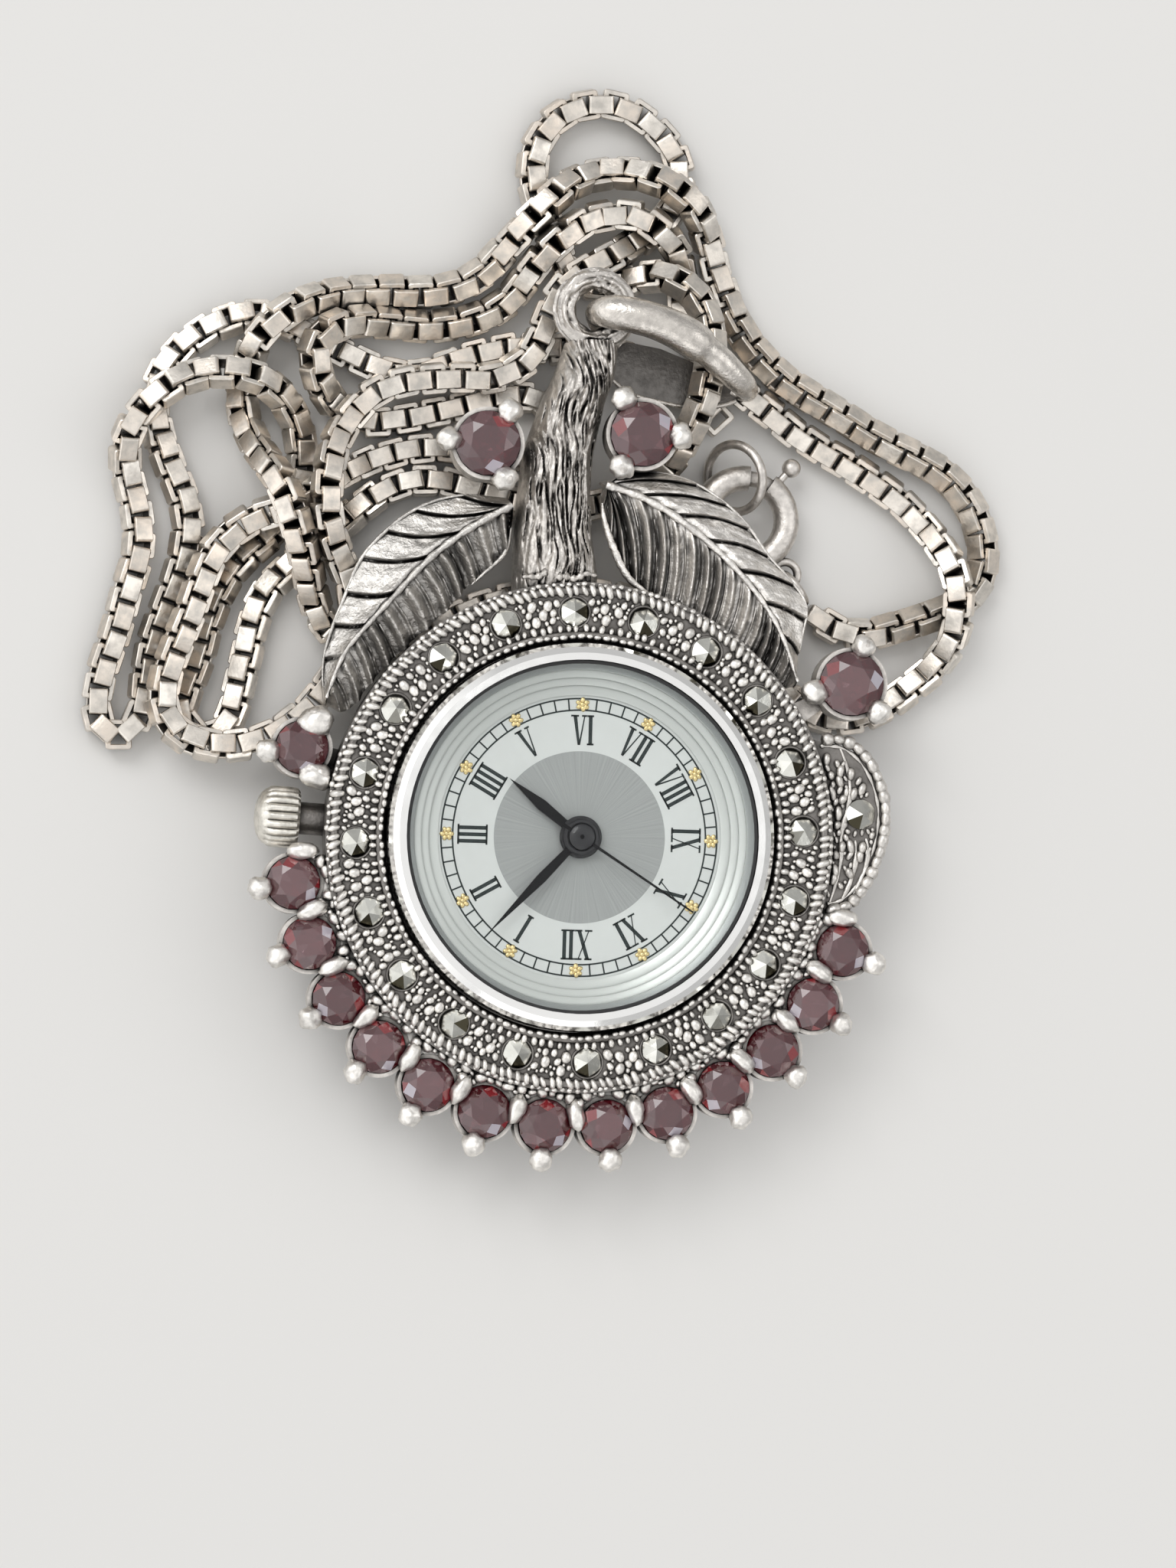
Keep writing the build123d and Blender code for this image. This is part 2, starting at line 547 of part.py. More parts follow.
def make_ring():
    inner = case_radius + running_clearance + seat_clearance
    ring = tube(ring_radius, inner, ring_low_height, frame_top())
    ring = chamfer(ring.edges().filter_by(GeomType.CIRCLE).sort_by(Axis.Z)[-1], ring_fillet)
    for share in milgrain_place_shares:
        ring += Pos(0, 0, frame_top()) * Torus(on_ring(share), milgrain_radius)
    stones = []
    for number in range(marcasite_count):
        angle = marcasite_first_angle + number * 360 / marcasite_count
        x, y = polar(on_ring(marcasite_place_share), angle)
        ring -= marcasite_seat(x, y, frame_top())
        stones.append(marcasite(x, y, frame_top()))
    hole = lying_rod(tube_radius + seat_clearance, 0, 2 * ring_radius, stem_height)
    ring -= Rot(0, 0, crown_angle) * hole
    save("frame_ring", ring)
    lobe_x, lobe_y = ring_place(lobe_stone_share)
    stones.append(marcasite(lobe_x, lobe_y, ring_low_height + lobe_thickness))
    save("marcasites", *stones)


def make_gallery():
    """The lower row: collets joined side by side, with prongs outside and between."""
    distance = gallery_place_share * ring_radius
    gallery = []
    seats = []
    stones = []
    for number in range(gallery_count):
        angle = gallery_first_angle + number * gallery_step_angle
        x, y = polar(distance, angle)
        gallery.append(collet(small_garnet_radius, x, y))
        gallery.append(prong(small_garnet_radius, angle, (x, y)))
        seats.append(collet_seat(small_garnet_radius, x, y))
        stones.append(garnet(small_garnet_radius, x, y))
    for number in range(gallery_count - 1):
        angle = gallery_first_angle + (number + 0.5) * gallery_step_angle
        x, y = polar(distance - 0.4 * small_garnet_radius, angle)
        gallery.append(rod(prong_radius * inner_prong_share, collet_low_height,
                           collet_low_height + collet_depth + garnet_girdle, x, y))
        gallery.append(Pos(x, y, collet_low_height + collet_depth + garnet_girdle)
                       * Sphere(prong_radius * inner_prong_share))
    body = fuse(gallery)
    for seat, gem in zip(seats, stones):
        body = body - seat - gem
    body -= ring_cut()
    save("lower_gallery", body)
    x, y = ring_place(garnet_left_shoulder_share)
    save("small_garnets", *stones, garnet(small_garnet_radius, x, y))


def setting(radius, place, lift, turn):
    """One collet with three prongs and a solder foot towards the ring."""
    x, y = place
    body = collet(radius, x, y, lift)
    for angle in large_prong_angles:
        body += prong(radius, angle + turn, place, lift)
    away = hypot(x, y)
    if away - radius - ring_radius > collet_wall:
        start = (x * ring_radius / away, y * ring_radius / away)
        low = collet_low_height + lift
        if away < 1.3 * ring_radius:
            body += bar(start, place, setting_foot_width, low, low + setting_foot_thickness)
    body -= collet_seat(radius, x, y, lift)
    body -= garnet(radius, x, y, lift)
    return body - ring_cut()


def make_settings():
    right_stem = ring_place(garnet_right_of_stem_share)
    left_stem = ring_place(garnet_left_of_stem_share)
    right_shoulder = ring_place(garnet_right_shoulder_share)
    left_shoulder = ring_place(garnet_left_shoulder_share)
    save("stem_garnet_settings",
         setting(large_garnet_radius, right_stem, stem_garnet_lift, right_stem_turn),
         setting(large_garnet_radius, left_stem, stem_garnet_lift, left_stem_turn))
    save("shoulder_garnet_settings",
         setting(large_garnet_radius, right_shoulder, 0, right_shoulder_turn),
         setting(small_garnet_radius, left_shoulder, 0, left_shoulder_turn))
    save("large_garnets",
         garnet(large_garnet_radius, *right_stem, stem_garnet_lift),
         garnet(large_garnet_radius, *left_stem, stem_garnet_lift),
         garnet(large_garnet_radius, *right_shoulder))


def make_leaf(name, outline_shares, midrib_shares, vein_shares):
    low = ring_low_height
    high = low + leaf_thickness
    outline = spread(outline_shares, ring_radius)
    leaf = prism(outline, low, high)
    limit = prism(outline, low, high + midrib_height)
    ribs = []
    midrib = spread(midrib_shares, ring_radius)
    for start, end in zip(midrib, midrib[1:]):
        ribs.append(bar(start, end, rib_width, high - seat_clearance, high + midrib_height))
        ribs.append(rod(rib_width / 2, high - seat_clearance, high + midrib_height, *start))
    for start, end in vein_shares:
        ribs.append(bar(spread([start], ring_radius)[0], spread([end], ring_radius)[0], vein_width,
                        high - seat_clearance, high + vein_height))
    for start, end in zip(midrib, midrib[1:]):
        middle = ((start[0] + end[0]) / 2, (start[1] + end[1]) / 2)
        away = hypot(*middle)
        inward = (middle[0] * ring_radius / away, middle[1] * ring_radius / away)
        ribs.append(bar(middle, inward, comb_width, high - seat_clearance, high + comb_height))
    leaf += fuse(ribs) & limit
    for share in (garnet_right_of_stem_share, garnet_left_of_stem_share):
        x, y = ring_place(share)
        room_low = collet_low_height + stem_garnet_lift - solder_gap
        room_radius = large_garnet_radius + collet_wall + solder_gap
        leaf -= rod(room_radius, room_low, 3 * case_radius, x, y)
    leaf -= ring_cut()
    leaf -= trunk_solid()
    save(name, leaf)


def trunk_section(y, left, right, height):
    """Flat underneath, with a bark-like ridged arch above."""
    middle = (left + right) / 2
    half = (right - left) / 2
    points = [(right, y, ring_low_height), (left, y, ring_low_height)]
    for step in range(1, 12):
        angle = radians(180 - step * 15)
        ridge = 1 + (trunk_ridge_share if step % 2 else -trunk_ridge_share)
        points.append((middle + half * cos(angle), y, ring_low_height + height * sin(angle) * ridge))
    return make_face(Polyline(*points, close=True))


def trunk_solid():
    sections = []
    for y_share, left_share, right_share, height_share in trunk_shares:
        left_x, y = ring_place((left_share, y_share))
        right_x = right_share * ring_radius
        sections.append(trunk_section(y, left_x, right_x, trunk_height * height_share))
    return loft(sections, ruled=True)


def eye_middle():
    return ring_place(eye_share)


def make_trunk():
    x, y = eye_middle()
    trunk = trunk_solid() + Pos(x, y, eye_height) * Torus(eye_radius, eye_wire_radius)
    trunk -= rod(eye_radius - eye_wire_radius, 0, 2 * eye_height, x, y)
    for share in (garnet_right_of_stem_share, garnet_left_of_stem_share):
        px, py = ring_place(share)
        trunk -= rod(large_garnet_radius + collet_wall + solder_gap, 0, 3 * case_radius, px, py)
    save("bark_stem", trunk - ring_cut())


def make_lobe():
    low = ring_low_height
    high = low + lobe_thickness
    lobe = prism(spread(lobe_shares, ring_radius), low, high)
    x, y = ring_place(lobe_stone_share)
    lobe -= marcasite_seat(x, y, high)
    lobe -= ring_cut()
    save("side_lobe", lobe)


def make_bail():
    x, y = eye_middle()
    low = bail_low_height + bail_arm_radius
    points = [(x + u * bail_length, y + v * bail_length, low + w * (bail_high_height - low))
              for u, v, w in bail_path_shares]
    path = FilletPolyline(*points, radius=corner_radii(points))
    arm = sweep(section_at(path, bail_arm_radius), path=path)
    band = prism(spread(bail_band_shares, bail_length, x, y), bail_low_height,
                 bail_low_height + bail_band_thickness)
    save("bail", arm + band)


def section_at(path, radius):
    return Plane(origin=path @ 0, z_dir=path % 0) * Circle(radius)


def corner_radii(points):
    """The largest arc that each corner's two runs allow."""
    radii = []
    for before, corner, after in zip(points, points[1:], points[2:]):
        start = Vector(*corner) - Vector(*before)
        end = Vector(*after) - Vector(*corner)
        half_turn = radians(start.get_angle(end)) / 2
        radii.append(0.45 * min(start.length, end.length) / tan(half_turn))
    return radii


# Crown side
def in_crown_line(solid):
    return Rot(0, 0, crown_angle) * solid


def crown_start():
    return crown_reach_share * ring_radius - crown_length


def make_crown():
    start = crown_start()
    end = start + crown_length
    crown = lying_rod(crown_radius, start, end, stem_height)
    outer = crown.edges().filter_by(GeomType.CIRCLE).sort_by(Axis.X)
    crown = chamfer(outer[-1], crown_rim)
    for number in range(crown_flutes):
        angle = number * 360 / crown_flutes
        y, z = polar(crown_radius + crown_flute_radius / 3, angle)
        flute = lying_rod(crown_flute_radius, start - cut_overrun, end + cut_overrun, stem_height)
        crown -= Pos(0, y, z) * flute
    socket = tube_radius + collet_wall
    crown -= lying_rod(socket, start - cut_overrun, start + tube_engagement + crown_gasket_width, stem_height)
    crown -= lying_rod(stem_radius + seat_clearance / 2, start, end - crown_rim - collet_wall, stem_height)
    stem = lying_rod(stem_radius, stem_inner_share * plate_radius, end - crown_rim - collet_wall, stem_height)
    tube_end = start + tube_engagement
    tube_solid = lying_rod(tube_radius, case_bore_radius + running_clearance, tube_end, stem_height)
    tube_solid -= lying_rod(tube_bore_radius, 0, 2 * end, stem_height)
    seal_end = start + crown_gasket_width
    seal = lying_rod(socket - seat_clearance, start + running_clearance, seal_end, stem_height)
    seal -= lying_rod(tube_radius + running_clearance, 0, 2 * end, stem_height)
    save("crown", in_crown_line(crown))
    save("winding_stem", in_crown_line(stem))
    save("crown_tube", in_crown_line(tube_solid))
    save("crown_gasket", in_crown_line(seal))


# Movement: built with the crown towards -X, then turned to the crown's line
def in_movement(solid):
    return Rot(0, 0, crown_angle - 180) * solid


def plate_place(shares):
    return (shares[0] * plate_radius, shares[1] * plate_radius)


def plate_top():
    return plate_low_height + plate_thickness


def stem_bore(radius):
    inner_end = 2 * running_clearance - stem_inner_share * plate_radius
    return lying_rod(radius, -2 * case_radius, inner_end, stem_height)


def train_places():
    """Arbor places, each at its mesh distance from the one before."""
    second_reach = (second_wheel_teeth + intermediate_pinion_teeth) * tooth_module / 2
    third_reach = (second_pinion_teeth + third_wheel_teeth) * tooth_module / 2
    rotor_reach = (rotor_pinion_teeth + intermediate_wheel_teeth) * tooth_module / 2
    minute_reach = (cannon_teeth + minute_wheel_teeth) * tooth_module / 2
    third = polar(third_reach, third_wheel_angle)
    intermediate = polar(second_reach, intermediate_angle)
    step = polar(rotor_reach, rotor_angle)
    rotor = (intermediate[0] + step[0], intermediate[1] + step[1])
    return {"third": third, "intermediate": intermediate, "rotor": rotor,
            "minute": polar(minute_reach, minute_wheel_angle), "third_reach": third_reach,
            "minute_reach": minute_reach}


def make_plates():
    places = train_places()
    plate = rod(plate_radius, plate_low_height, plate_top())
    bridge = rod(plate_radius, bridge_low_height, bridge_low_height + bridge_thickness)
    battery_x, battery_y = plate_place(battery_place_share)
    pocket = rod(battery_radius + 4 * running_clearance, 0,
                 battery_low_height + battery_height + running_clearance, battery_x, battery_y)
    screws = []
    for share in screw_place_shares:
        x, y = plate_place(share)
        bridge += rod(pillar_radius, bridge_low_height, plate_low_height, x, y)
        hole = rod(screw_radius + seat_clearance, 0, plate_low_height + screw_grip + seat_clearance, x, y)
        bridge -= hole
        plate -= hole
        head_low = bridge_low_height - screw_head_thickness
        screws.append(rod(screw_head_radius, head_low, bridge_low_height, x, y)
                      + rod(screw_radius, head_low, plate_low_height + screw_grip, x, y))
    plate -= rod(centre_tube_radius + running_clearance, 0, 2 * case_radius)
    bridge -= rod(arbor_radius + seat_clearance, 0, plate_low_height)
    for name in ("third", "intermediate", "rotor"):
        hole = rod(arbor_radius + seat_clearance, 0, plate_low_height + pinion_thickness + seat_clearance,
                   *places[name])
        plate -= hole
        bridge -= hole
    for side in dial_foot_angles:
        x, y = polar(dial_foot_place_share * plate_radius, side)
        foot_low = plate_low_height + plate_thickness / 2 - seat_clearance
        plate -= rod(dial_foot_radius + seat_clearance, foot_low, plate_top() + cut_overrun, x, y)
    plate += rod(arbor_radius, plate_top(), dial_seat_height - running_clearance, *places["minute"])
    plate -= pocket
    bridge -= pocket
    plate -= stem_bore(stem_radius + 2 * running_clearance)
    holder = tube(plate_radius + holder_wall, plate_radius + running_clearance, case_ledge_height,
                  dial_seat_height)
    holder -= lying_rod(tube_radius, -2 * case_radius, 0, stem_height)
    save("main_plate", in_movement(plate))
    save("train_bridge", in_movement(bridge))
    save("movement_holder", in_movement(holder))
    save("movement_screws", *[in_movement(screw) for screw in screws])


def make_electrics():
    places = train_places()
    x, y = plate_place(battery_place_share)
    battery = rod(battery_radius, battery_low_height, battery_low_height + battery_height * 0.8, x, y)
    battery += rod(battery_radius * 0.85, battery_low_height, battery_low_height + battery_height, x, y)
    clamp_reach = battery_radius + pillar_radius
    clamp_low = bridge_low_height - clamp_thickness
    clamp = prism([(x - clamp_reach, y - clamp_width / 2), (x + battery_radius / 2, y - clamp_width / 2),
                   (x + battery_radius / 2, y + clamp_width / 2), (x - clamp_reach, y + clamp_width / 2)],
                  clamp_low, bridge_low_height)
    board_high = plate_low_height
    board_low = board_high - board_thickness
    board = prism(spread(board_shares, plate_radius), board_low, board_high)
    chip_x, chip_y = plate_place(chip_place_share)
    chip = Pos(chip_x, chip_y, board_low) * Box(chip_size, chip_size, chip_thickness,
                                                align=(Align.CENTER, Align.CENTER, Align.MAX))
    can_x, can_y = plate_place(quartz_place_share)
    can = Pos(0, can_y, 0) * lying_rod(quartz_radius, can_x - quartz_length / 2, can_x + quartz_length / 2,
                                       board_low - quartz_radius)
    coil_y = coil_place_share * plate_radius
    half = coil_length / 2
    core_low = stator_low_height + stator_thickness
    core_reach = 0.46 * plate_radius
    core = prism([(-core_reach, coil_y - coil_core_width / 2), (core_reach, coil_y - coil_core_width / 2),
                  (core_reach, coil_y + coil_core_width / 2), (-core_reach, coil_y + coil_core_width / 2)],
                 core_low, core_low + coil_core_thickness)
    winding = Pos(0, coil_y, 0) * lying_rod(coil_radius, -half, half, core_low + coil_core_thickness / 2)
    stator = (prism(spread(stator_bar_shares, plate_radius), stator_low_height, core_low)
              + prism(spread(stator_tongue_shares, plate_radius), stator_low_height, core_low))
    stator -= rod(magnet_radius + stator_hole_gap, 0, plate_low_height, *places["rotor"])
    save("battery", in_movement(battery))
    save("battery_clamp", in_movement(clamp))
    save("circuit_board", in_movement(board))
    save("chip", in_movement(chip))
    save("quartz_oscillator", in_movement(can))
    save("coil", in_movement(core + winding))
    save("stator", in_movement(stator))


def make_train():
    places = train_places()
    low = train_low_height
    wheel = wheel_thickness
    second_reach = second_wheel_teeth * tooth_module / 2
    second_low = low + train_gap / 2
    third_low = second_low + wheel + train_gap
    pinion_share = third_pinion_teeth / (third_pinion_teeth + centre_wheel_teeth)
    third_pinion_radius = places["third_reach"] * pinion_share
    centre_reach = places["third_reach"] - third_pinion_radius
    centre_low = third_low + 2 * wheel + 2 * train_gap
    bridge_top = bridge_low_height + bridge_thickness
    second = gear(second_wheel_teeth, second_reach, second_low, second_low + wheel)
    second += gear(second_pinion_teeth, second_pinion_teeth * tooth_module / 2, second_low + wheel,
                   centre_low - running_clearance)
    second += rod(arbor_radius, bridge_low_height, second_hand_height + hand_thickness / 2)
    third = gear(third_wheel_teeth, third_wheel_teeth * tooth_module / 2, third_low, third_low + wheel)
    third += gear(third_pinion_teeth, third_pinion_radius, third_low + wheel, centre_low + wheel)
    third += rod(arbor_radius, bridge_low_height, plate_low_height + pinion_thickness)
    centre = gear(centre_wheel_teeth, centre_reach, centre_low, centre_low + wheel)
    centre += rod(centre_tube_radius, centre_low, minute_hand_height - running_clearance)
    centre -= rod(arbor_radius + running_clearance, 0, 2 * case_radius)
    intermediate = gear(intermediate_pinion_teeth, intermediate_pinion_teeth * tooth_module / 2, low,
                        second_low + wheel + running_clearance)
    wheel_low = third_low + wheel + running_clearance
    intermediate += gear(intermediate_wheel_teeth, intermediate_wheel_teeth * tooth_module / 2, wheel_low,
                         wheel_low + wheel * 0.8)
    intermediate += rod(arbor_radius, bridge_low_height, plate_low_height + pinion_thickness)
    magnet_low = bridge_top + train_gap
    rotor = rod(magnet_radius, magnet_low, magnet_low + magnet_thickness)
    rotor += gear(rotor_pinion_teeth, rotor_pinion_teeth * tooth_module / 2, wheel_low - running_clearance,
                  wheel_low + wheel)
    rotor += rod(arbor_radius, bridge_low_height, plate_low_height + pinion_thickness)
    save("second_wheel", in_movement(second))
    save("third_wheel", in_movement(Pos(*places["third"], 0) * third))
    save("centre_wheel", in_movement(centre))
    save("intermediate_wheel", in_movement(Pos(*places["intermediate"], 0) * intermediate))
    save("rotor", in_movement(Pos(*places["rotor"], 0) * rotor))


def make_motion_works():
    places = train_places()
    low = motion_low_height
    wheel = wheel_thickness
    cannon = gear(cannon_teeth, cannon_teeth * tooth_module / 2, low, low + wheel + running_clearance)
    cannon += rod(cannon_tube_radius, low, minute_hand_height + hand_thickness / 2)
    cannon -= rod(centre_tube_radius + seat_clearance / 2, 0, 2 * case_radius)
    minute = gear(minute_wheel_teeth, minute_wheel_teeth * tooth_module / 2, low, low + wheel)
    pinion_radius = places["minute_reach"] * minute_pinion_teeth / (minute_pinion_teeth + hour_wheel_teeth)
    minute += gear(minute_pinion_teeth, pinion_radius, low + wheel, dial_seat_height - 2 * running_clearance)
    minute -= rod(arbor_radius + seat_clearance, 0, 2 * case_radius)
    hour_low = low + wheel + train_gap
    hour = gear(hour_wheel_teeth, places["minute_reach"] - pinion_radius, hour_low, hour_low + wheel)
    hour += rod(hour_tube_radius, hour_low, hour_hand_height + hand_thickness / 2)
    hour -= rod(cannon_tube_radius + running_clearance, 0, 2 * case_radius)
    save("cannon_pinion", in_movement(cannon))
    save("minute_wheel", in_movement(Pos(*places["minute"], 0) * minute))
    save("hour_wheel", in_movement(hour))
    lever = prism(spread(lever_shares, plate_radius), plate_top() + running_clearance,
                  plate_top() + running_clearance + lever_thickness)
    yoke = prism(spread(yoke_shares, plate_radius), plate_top(), plate_top() + lever_thickness)
    save("setting_lever", in_movement(lever))
    save("yoke", in_movement(yoke))


def leaf_hand(length, width, widest_share, boss_radius, pipe_radius, low):
    """A leaf-shaped hand along +X with a round boss at its hub."""
    neck = width * hand_neck_share
    blade = prism([(0, -neck), (length * widest_share, -width / 2), (length, 0),
                   (length * widest_share, width / 2), (0, neck)], low, low + hand_thickness)
    return blade + rod(boss_radius, low, low + hand_thickness) - rod(pipe_radius, 0, 2 * case_radius)


def make_hands():
    hour = leaf_hand(hour_hand_length, hour_hand_width, hour_widest_share, hour_boss_radius,
                     hour_tube_radius + seat_clearance / 2, hour_hand_height)
    minute = leaf_hand(minute_hand_length, minute_hand_width, minute_widest_share, minute_boss_radius,
                       cannon_tube_radius + seat_clearance / 2, minute_hand_height)
    second = bar((-second_hand_tail, 0), (second_hand_length, 0), second_hand_width, second_hand_height,
                 second_hand_height + hand_thickness / 2)
    second += rod(second_boss_radius, second_hand_height, second_hand_height + hand_thickness)
    bore_top = second_hand_height + hand_thickness / 2 + seat_clearance
    second -= rod(arbor_radius + seat_clearance / 2, 0, bore_top)
    save("hour_hand", Rot(0, 0, hour_hand_angle) * hour)
    save("minute_hand", Rot(0, 0, minute_hand_angle) * minute)
    save("second_hand", Rot(0, 0, second_hand_angle) * second)


# Chain end pieces
def ring_arc(ring, wire, start_angle, sweep_angle):
    arc = CenterArc((0, 0), ring, start_angle, sweep_angle)
    return sweep(section_at(arc, wire), path=arc)


def make_clasp():
    x, y = clasp_place
    place = Pos(x, y, clasp_height)
    gap_end = clasp_gap_start_angle + clasp_gap_angle
    shell_angle = 360 - clasp_gap_angle
    shell = ring_arc(clasp_ring_radius, clasp_tube_radius, gap_end, shell_angle)
    spring_end = clasp_gap_start_angle - clasp_latch_tail_angle - clasp_slot_angle - clasp_latch_tip_angle
    channel_angle = clasp_latch_tail_angle + clasp_slot_angle + clasp_spring_angle + 4 * clasp_latch_tip_angle
    channel_start = clasp_gap_start_angle - channel_angle
    bored_angle = channel_angle + clasp_latch_tip_angle
    shell -= ring_arc(clasp_ring_radius, clasp_bore_radius, channel_start, bored_angle)
    shell -= ring_arc(clasp_ring_radius, clasp_bore_radius, gap_end - clasp_latch_tip_angle,
                      3 * clasp_latch_tip_angle)
    slot_radius = clasp_neck_radius + 2 * seat_clearance
    slot_end = clasp_gap_start_angle - clasp_latch_tip_angle
    slot_start = slot_end - clasp_slot_angle - clasp_latch_tip_angle
    slot_reach = clasp_ring_radius + 2 * clasp_tube_radius
    slot_face = make_face(Polyline(*[(radius, 0, height) for radius, height in (
        (clasp_ring_radius, -slot_radius), (slot_reach, -slot_radius),
        (slot_reach, slot_radius), (clasp_ring_radius, slot_radius))], close=True))
    shell -= Rot(0, 0, slot_start) * revolve(slot_face, Axis.Z, revolution_arc=slot_end - slot_start)
    lug_x, lug_y = polar(clasp_ring_radius + clasp_tube_radius + clasp_lug_radius, clasp_lug_angle)
    shell += Pos(lug_x, lug_y, 0) * Torus(clasp_lug_radius, clasp_lug_wire_radius)
    latch_start = clasp_gap_start_angle - clasp_latch_tail_angle
    latch = ring_arc(clasp_ring_radius, clasp_bore_radius - running_clearance, latch_start,
                     clasp_latch_tail_angle + clasp_gap_angle + clasp_latch_tip_angle * 0.6)
    knob_angle = slot_end - clasp_latch_tip_angle
    neck_reach = clasp_ring_radius + clasp_tube_radius + clasp_neck_length
    latch += Rot(0, 0, knob_angle) * lying_rod(clasp_neck_radius, clasp_ring_radius, neck_reach, 0)
    knob_x, knob_y = polar(neck_reach, knob_angle)
    latch += Pos(knob_x, knob_y, 0) * Sphere(clasp_knob_radius)
    coil_outer = clasp_bore_radius - running_clearance
    coil = ring_arc(clasp_ring_radius, coil_outer, spring_end - clasp_spring_angle, clasp_spring_angle)
    coil -= ring_arc(clasp_ring_radius, coil_outer - 2 * clasp_spring_wire_radius,
                     spring_end - clasp_spring_angle - clasp_latch_tip_angle,
                     clasp_spring_angle + 2 * clasp_latch_tip_angle)
    save("clasp_ring", place * shell)
    save("clasp_latch", place * latch)
    save("clasp_spring", place * coil)


def make_chain_rings():
    x, y = clasp_place
    reach = jump_ring_reach_share * clasp_ring_radius
    ring_x, ring_y = polar(reach, jump_ring_angle)
    height = jump_ring_wire_radius + running_clearance + jump_ring_radius * cos(radians(jump_ring_lean))
    standing = Rot(90, 0, 0) * Torus(jump_ring_radius, jump_ring_wire_radius)
    leaning = Rot(0, 0, jump_ring_angle) * (Rot(jump_ring_lean, 0, 0) * standing)
    save("clasp_jump_ring", Pos(x + ring_x, y + ring_y, height) * leaning)
    lug_reach = clasp_ring_radius + clasp_tube_radius + clasp_lug_radius
    end_x, end_y = polar(lug_reach + end_ring_radius, clasp_lug_angle)
    standing = Rot(90, 0, 0) * Torus(end_ring_radius, end_ring_wire_radius)
    end_ring = Rot(0, 0, clasp_lug_angle) * standing
    save("chain_end_ring", Pos(x + end_x, y + end_y, end_ring_height) * end_ring)


def make_chain():
    radii = corner_radii(chain_points)
    path = FilletPolyline(*chain_points, radius=radii)
    chain = sweep(section_at(path, chain_radius), path=path)
    print("chain length", round(path.length, 1), "volume over section", round(
        chain.volume / (pi * chain_radius ** 2), 1))
    print("chain corner radii", [round(radius, 2) for radius in radii])
    save("chain", chain)


case_bore_radius = case_radius - case_wall
rehaut_inner_radius = rehaut_inner_share * case_radius
ring_radius = case_radius + ring_width
plate_radius = case_bore_radius - plate_gap
battery_radius = battery_radius_share * plate_radius
quartz_length = quartz_length_share * plate_radius
coil_length = coil_length_share * plate_radius
tooth_module = tooth_module_share * plate_radius
hour_hand_length = hour_hand_share * rehaut_inner_radius
minute_hand_length = minute_hand_share * rehaut_inner_radius
second_hand_length = second_hand_share * rehaut_inner_radius
dial_radius = case_bore_radius + gasket_wall + crystal_gasket_wall
dial_top_height = dial_seat_height + dial_thickness
rehaut_top_height = dial_top_height + rehaut_height
centre_tube_radius = arbor_radius + running_clearance + centre_tube_wall
cannon_tube_radius = centre_tube_radius + cannon_tube_wall
hour_tube_radius = cannon_tube_radius + running_clearance + hour_tube_wall

make_case()
make_glass()
make_dial()
make_ring()
make_gallery()
make_settings()
make_leaf("leaf_right", leaf_right_shares, midrib_right_shares, vein_right_shares)
make_leaf("leaf_left", leaf_left_shares, midrib_left_shares, vein_left_shares)
make_trunk()
make_lobe()
make_bail()
make_crown()
make_plates()
make_electrics()
make_train()
make_motion_works()
make_hands()
make_clasp()
make_chain_rings()
make_chain()
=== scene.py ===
"""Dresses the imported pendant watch: its finishes, and fine pieces laid over its CAD model."""

import json
from math import atan2, cos, degrees, exp, hypot, pi, radians, sin, tau
from random import Random
from types import SimpleNamespace

import bmesh
import bpy
import numpy as np
from bpy.props import FloatProperty, FloatVectorProperty, IntProperty, PointerProperty
from bpy.types import Operator, Panel, PropertyGroup
from mathutils import Matrix, Vector, noise


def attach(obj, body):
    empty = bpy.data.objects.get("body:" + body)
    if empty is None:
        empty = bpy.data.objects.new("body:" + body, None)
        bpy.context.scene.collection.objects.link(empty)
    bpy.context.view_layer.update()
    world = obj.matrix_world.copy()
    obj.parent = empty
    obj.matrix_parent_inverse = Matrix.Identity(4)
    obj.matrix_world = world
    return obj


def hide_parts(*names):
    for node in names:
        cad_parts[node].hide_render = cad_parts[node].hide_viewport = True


bl_info = {
    "name": "Pendant watch",
    "version": (1, 0, 0),
    "blender": (4, 5, 0),
    "location": "View3D > Sidebar > Watch",
    "description": "Dresses the packed pendant watch with its chain, stones, printing and finishes",
    "category": "Object",
}

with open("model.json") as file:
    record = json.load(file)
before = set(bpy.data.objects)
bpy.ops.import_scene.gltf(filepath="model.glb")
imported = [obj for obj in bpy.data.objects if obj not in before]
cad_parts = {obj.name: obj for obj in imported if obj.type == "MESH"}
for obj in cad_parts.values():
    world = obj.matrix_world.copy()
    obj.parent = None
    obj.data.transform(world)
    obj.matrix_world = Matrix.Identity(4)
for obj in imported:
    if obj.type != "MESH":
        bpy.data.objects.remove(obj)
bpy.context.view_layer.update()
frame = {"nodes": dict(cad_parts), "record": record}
MM = 0.001
SLOT_OF_NODE = {part["node"]: part["material_slot"] for part in frame["record"]["subparts"]}

# Camera: its place, the point it looks at and how wide a view it takes in there
CAMERA_PLACE = (-0.027, -0.005, 0.2265)
CAMERA_AIM = (0.00043, 0.00248, 0.0045)
VIEW_WIDTH = 0.0545
SENSOR_WIDTH = 36.0
FRAME_PIXELS = (1536, 2048)
FLOOR_REACH, FLOOR_LEVEL = 0.6, -0.00004
BACKDROP = (0.82, 0.81, 0.79)
# Lamps: name, place, size in metres and power in watts
LAMPS = (
    ("key", (-0.20, 0.28, 0.42), 0.27, 0.78),
    ("fill", (0.36, 0.02, 0.30), 0.30, 0.22),
    ("front", (-0.05, -0.40, 0.26), 0.30, 0.20),
)

